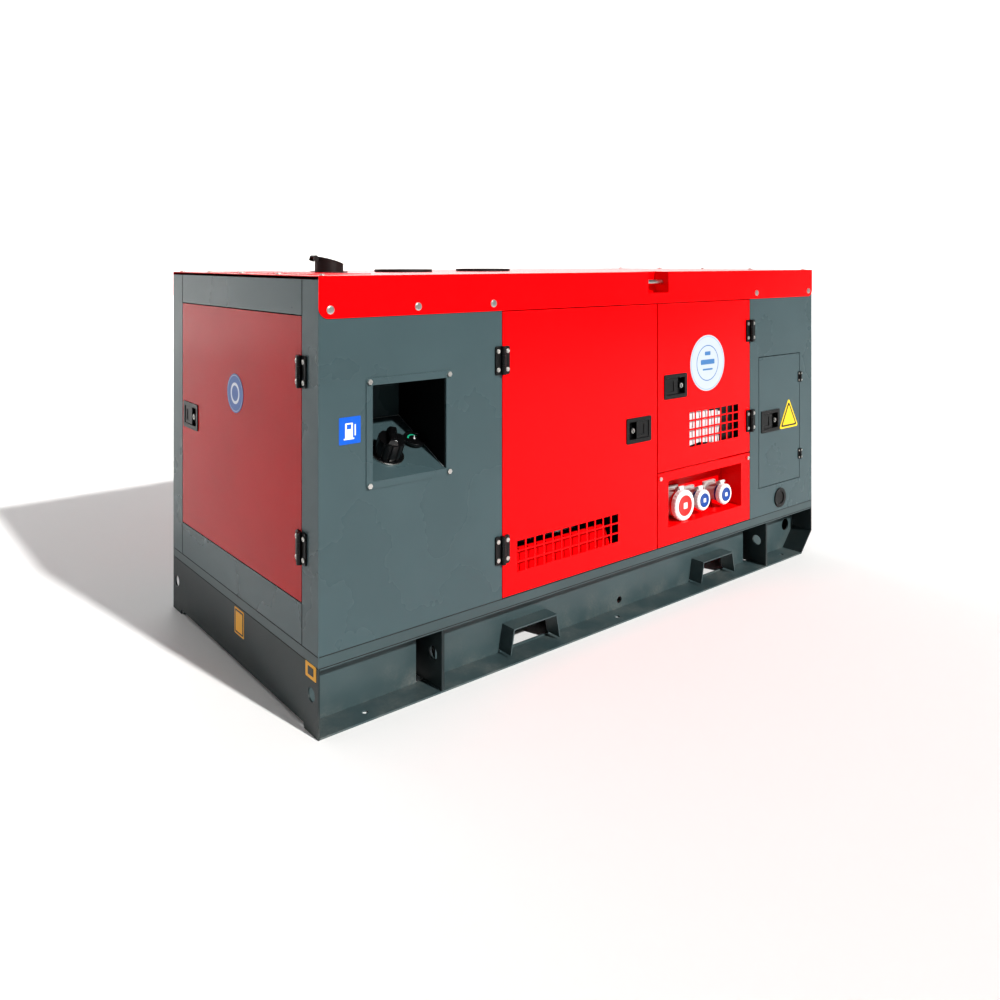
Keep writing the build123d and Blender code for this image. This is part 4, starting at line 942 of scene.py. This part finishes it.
def make_frame_seams():
    """The sealed joints between the end posts and the end rails, and along the top of the skid."""
    lines = []
    for wall in ("left", "right"):
        for x in (-END_POST, END_POST):
            for z0, z1 in ((DECK, END_DOOR_LOW), (END_DOOR_HIGH, HEIGHT - 0.010)):
                lines.append(seam(wall, x - 0.0012, x + 0.0012, z0, z1))
    for wall, side in (("front", LENGTH), ("rear", LENGTH), ("left", WIDTH), ("right", WIDTH)):
        end = side / 2 - 0.002
        for z in (DECK, SKID_TOP):
            lines.append(seam(wall, -end, end, z - 0.0011, z + 0.0011))
    settle(join(lines), "frame_seams", seal_rubber)


def make_skid_welds():
    """Weld runs where the lifting plates meet the rails."""
    beads = []
    for sense in (-1, 1):
        for x in (LEFT_FACE + 0.403, -LEFT_FACE - 0.340):
            for side in (-1, 1):
                foot = [(x + side * 0.0055, sense * (0.452 + 0.006 * step), 0.0056 + 0.0004 * (step % 2))
                        for step in range(13)]
                beads.append(tube_along(foot, 0.0024))
    settle(join(beads), "lifting_plate_welds", skid_coat)


# ---------------------------------------------------------------- inside the canopy

def make_engine_trim():
    """Filters, air cleaner, charging dynamo, rocker cover, injector lines, hoses and the radiator's cap."""
    engine_x = LEFT_FACE + 0.300
    can = start_round(0.048, 0.110, (engine_x + 0.33, -0.205, 0.52), sides=40)
    inset_and_push(can, lambda c, n: n.z < -0.9, 0.008, (0, 0, -0.008))
    settle(round_edges(can, 0.004, 3), "oil_filter", filter_white)
    bowl = start_round(0.036, 0.120, (engine_x + 0.47, -0.195, 0.66), sides=36)
    dish(bowl, 0.006, 0.014)
    settle(round_edges(bowl, 0.003, 3), "fuel_filter", filter_white)
    drum = start_round(0.085, 0.240, (engine_x + 0.30, -0.235, 0.905), turn=(0, pi / 2, 0), sides=56)
    edit_faces(drum, lambda c, n: n.x > 0.9)
    bpy.ops.mesh.inset(thickness=0.012)
    extrude((0.016, 0, 0))
    bpy.ops.mesh.inset(thickness=0.03)
    extrude((-0.006, 0, 0))
    leave_edit()
    settle(round_edges(drum, 0.004, 3), "air_cleaner", black_plastic)
    dynamo_centre = (engine_x + 0.09, -0.195, 0.70)
    dynamo = start_round(0.062, 0.110, dynamo_centre, turn=(0, pi / 2, 0), sides=40)
    edit_faces(dynamo, lambda c, n: abs(n.x) > 0.9)
    bpy.ops.mesh.inset(thickness=0.014)
    extrude((0, 0, 0))
    bpy.ops.transform.resize(value=(1.15, 0.9, 0.9), center_override=dynamo_centre)
    leave_edit()
    settle(round_edges(dynamo, 0.003, 3), "charging_dynamo", zinc)
    cover = start_block((engine_x + 0.06, -0.052, 0.900), (engine_x + 0.52, 0.052, 0.925))
    dish(cover, 0.014, 0.010)
    settle(round_edges(cover, 0.006, 3), "rocker_cover", engine_paint)
    lines = []
    for step in range(4):
        x = engine_x + 0.12 + step * 0.11
        lines.append(tube_along([(engine_x + 0.30 + step * 0.02, -0.15, 0.60),
                                 (engine_x + 0.28 + step * 0.03, -0.19, 0.68),
                                 (x, -0.17, 0.80), (x, -0.13, 0.86), (x, -0.075, 0.88)], 0.0035))
    settle(join(lines), "injector_lines", zinc)
    for name, radius, run in (
            ("radiator_top_hose", 0.021, ((0.145, 0.20, 0.955), (0.20, 0.20, 0.955), (0.26, 0.16, 0.95),
                                          (0.30, 0.09, 0.90), (0.335, 0.09, 0.86))),
            ("radiator_bottom_hose", 0.021, ((0.235, -0.24, 0.30), (0.27, -0.24, 0.30), (0.30, -0.20, 0.36),
                                             (0.315, -0.10, 0.43), (0.345, -0.10, 0.45))),
            ("air_duct", 0.028, ((0.48, -0.235, 0.905), (0.42, -0.21, 0.91), (0.38, -0.14, 0.86),
                                 (0.38, -0.11, 0.82)))):
        hose = tube_along([(LEFT_FACE + distance, y, z) for distance, y, z in run], radius)
        settle(hose, name, rubber)
    lid = start_round(0.030, 0.012, (LEFT_FACE + 0.103, 0.0, 1.006), sides=40)
    dish(lid, 0.010, 0.008)
    settle(round_edges(lid, 0.002, 3), "radiator_cap", zinc)


DASH_BACK = -0.057
DASH_KNOB_Z = 0.790


def make_control_trim():
    """The control panel's screen, keys, knob, dials and screws, and the nuts of the terminal board."""
    screen = plate(0.112, 0.070, 0.003, 0.003)
    settle(hang(screen, "front", BAY_LEFT + 0.290, 0.958, DASH_BACK + 0.012), "controller_screen", screen_dark)
    keys = [(BAY_LEFT + 0.213 + 0.031 * number, 0.900, DASH_BACK + 0.012) for number in range(6)]
    keys = round_edges(spread(plate(0.020, 0.012, 0.003, 0.002), keys, "front"), 0.0006, 2)
    settle(keys, "controller_keys", socket_body)
    for number, distance in enumerate((0.120, 0.250, 0.340, 0.430)):
        x = BAY_LEFT + distance
        bezel = start_disc(0.0205, 0.004, sides=48)
        dish(bezel, 0.004, -0.0022)
        round_edges(bezel, 0.0008, 2)
        settle(hang(bezel, "front", x, DASH_KNOB_Z, DASH_BACK + 0.014), f"dash_knob_{number + 1}_bezel", zinc)
        if number:
            needle = plate(0.0016, 0.018, 0.0006, 0.0004)
            needle.data.transform(Matrix.Rotation(radians(40 - 35 * number), 4, "Z"))
            settle(hang(needle, "front", x, DASH_KNOB_Z, DASH_BACK + 0.0162), f"dash_dial_{number}_needle",
                   white_print)
    places = [(x, z, DASH_BACK) for x in (BAY_LEFT + 0.055, BAY_RIGHT - 0.055) for z in (0.715, 1.045)]
    settle(spread(screw_head(0.0055, 0.003), places, "front"), "dash_screws", zinc)
    nuts = []
    for column in range(-2, 3):
        nut = start_disc(0.0125, 0.008, sides=6)
        dish(nut, 0.003, 0.0008)
        nuts.append(hang(nut, "front", 0.945 + column * 0.048, 0.470, -0.162))
    settle(round_edges(join(nuts), 0.0006, 2), "terminal_nuts", brass)


def make_generator_trim():
    """The generator's stepped end cowl, its box's screws, and the battery's two leads."""
    x, axis_z = LEFT_FACE + 1.500, 0.520
    cowl = start_round(0.150, 0.020, (x + 0.010, 0, axis_z), turn=(0, pi / 2, 0), sides=64)
    for step in range(4):
        inset_and_push(cowl, lambda c, n: n.x > 0.9 and Vector((c.y, c.z - axis_z)).length < 0.02, 0.016,
                       (0.004 if step % 2 else -0.006, 0, 0))
    settle(round_edges(cowl, 0.002, 2), "generator_end_cowl", generator_paint)
    heads = []
    for distance in (-0.245, -0.035):
        for y in (-0.115, 0.115):
            head = screw_head(0.006, 0.004)
            move(head, (x + distance, y, 0.810))
            heads.append(head)
    settle(join(heads), "generator_box_screws", zinc)
    leads = []
    for number in range(2):
        leads.append(tube_along([(0.638 + 0.03 * number, -0.140 + 0.1 * number, 0.438),
                                 (0.60, -0.12 + 0.06 * number, 0.47), (0.50, -0.10 + 0.04 * number, 0.42),
                                 (0.40, -0.09 + 0.04 * number, 0.30), (0.33, -0.08 + 0.03 * number, 0.27)], 0.007))
    settle(join(leads), "battery_leads", lead_red)


make_hinge_screws()
make_latch_trim()
make_door_seals()
make_door_foam()
make_round_marks()
make_flat_marks()
make_grille_backs()
make_recess_painted_shade()
make_filler_trim()
make_socket_trim()
make_roof_trim()
make_frame_seams()
make_skid_welds()
make_engine_trim()
make_control_trim()
make_generator_trim()


# ---------------------------------------------------------------- stage, light, camera

FLOOR_RADIUS = 11
RIM_STEPS = 10
RIM_STEP = 0.8
RIM_LEAN = (0.6, -0.3)
WALL_RUN = (4.0, -1.5, 4.0)


def make_stage():
    """A round pale floor whose rim curves up into a low wall, which leans outwards where the camera sees it."""
    pick_nothing()
    bpy.ops.mesh.primitive_circle_add(vertices=96, radius=FLOOR_RADIUS, fill_type="NGON", location=(0, 0, -0.0005))
    floor = bpy.context.object
    floor.name = "floor"
    radius = FLOOR_RADIUS
    for step in range(1, RIM_STEPS + 1):
        tilt = step * pi / 2 / RIM_STEPS
        wider = radius + RIM_STEP * cos(tilt)
        edit_edges(floor, on_rim)
        bpy.ops.mesh.extrude_edges_move(TRANSFORM_OT_translate={"value": (*RIM_LEAN, RIM_STEP * sin(tilt))})
        bpy.ops.transform.resize(value=(wider / radius, wider / radius, 1), center_override=(0, 0, 0))
        radius = wider
    edit_edges(floor, on_rim)
    bpy.ops.mesh.extrude_edges_move(TRANSFORM_OT_translate={"value": WALL_RUN})
    leave_edit()
    bpy.ops.object.shade_smooth_by_angle(angle=SOFT_UNDER)
    pale = bpy.data.materials.new("pale_floor")
    pale.use_nodes = True
    shader = pale.node_tree.nodes["Principled BSDF"]
    shader.inputs["Base Color"].default_value = (0.88, 0.88, 0.88, 1)
    shader.inputs["Roughness"].default_value = 0.8
    shader.inputs["Specular IOR Level"].default_value = 0.2
    floor.data.materials.append(pale)


SUN_PLACE = (1.2, -6.8, 5.0)
SUN_STRENGTH = 3.9
FILL_PLACE = (1.5, 6.5, 4.5)
FILL_POWER = 60
SURROUND = 0.13


def add_light(name, kind, place, aim, energy, size, colour):
    """A lamp that looks at a point. Its size is a disc's width, or the sun's angle."""
    data = bpy.data.lights.new(name, kind)
    data.energy = energy
    data.color = colour
    if kind == "AREA":
        data.shape = "DISK"
        data.size = size
    else:
        data.angle = size
    lamp = bpy.data.objects.new(name, data)
    bpy.context.scene.collection.objects.link(lamp)
    lamp.location = place
    lamp.rotation_euler = (Vector(aim) - Vector(place)).to_track_quat("-Z", "Y").to_euler()


def make_light():
    """A sun from the front, a soft fill behind, and a faint cool surround."""
    add_light("key_sun", "SUN", SUN_PLACE, (0, 0, 0.3), SUN_STRENGTH, radians(2.2), (1.0, 0.99, 0.97))
    add_light("rear_fill", "AREA", FILL_PLACE, (0, 0, 0.5), FILL_POWER, 3.0, (1, 1, 1))
    world = bpy.data.worlds.new("studio")
    world.use_nodes = True
    background = world.node_tree.nodes["Background"]
    background.inputs["Color"].default_value = (0.93, 0.96, 1.0, 1)
    background.inputs["Strength"].default_value = SURROUND
    bpy.context.scene.world = world
    bpy.context.scene.view_settings.view_transform = "Standard"
    bpy.context.scene.view_settings.look = "Medium High Contrast"


CAMERA_SPOT = (LEFT_FACE - 1.0589, FRONT_FACE - 1.9416, 1.2392)
CAMERA_HEADING = radians(52.554)


def make_camera():
    """A level camera at standing height, off the front left corner."""
    data = bpy.data.cameras.new("camera")
    data.sensor_width = 36
    data.lens = 30.50
    data.shift_x = 0.050
    data.shift_y = -0.2393
    data.clip_end = 200
    camera = bpy.data.objects.new("camera", data)
    bpy.context.scene.collection.objects.link(camera)
    camera.location = CAMERA_SPOT
    camera.rotation_euler = (pi / 2, 0, CAMERA_HEADING - pi / 2)
    bpy.context.scene.camera = camera


make_stage()
make_light()
make_camera()
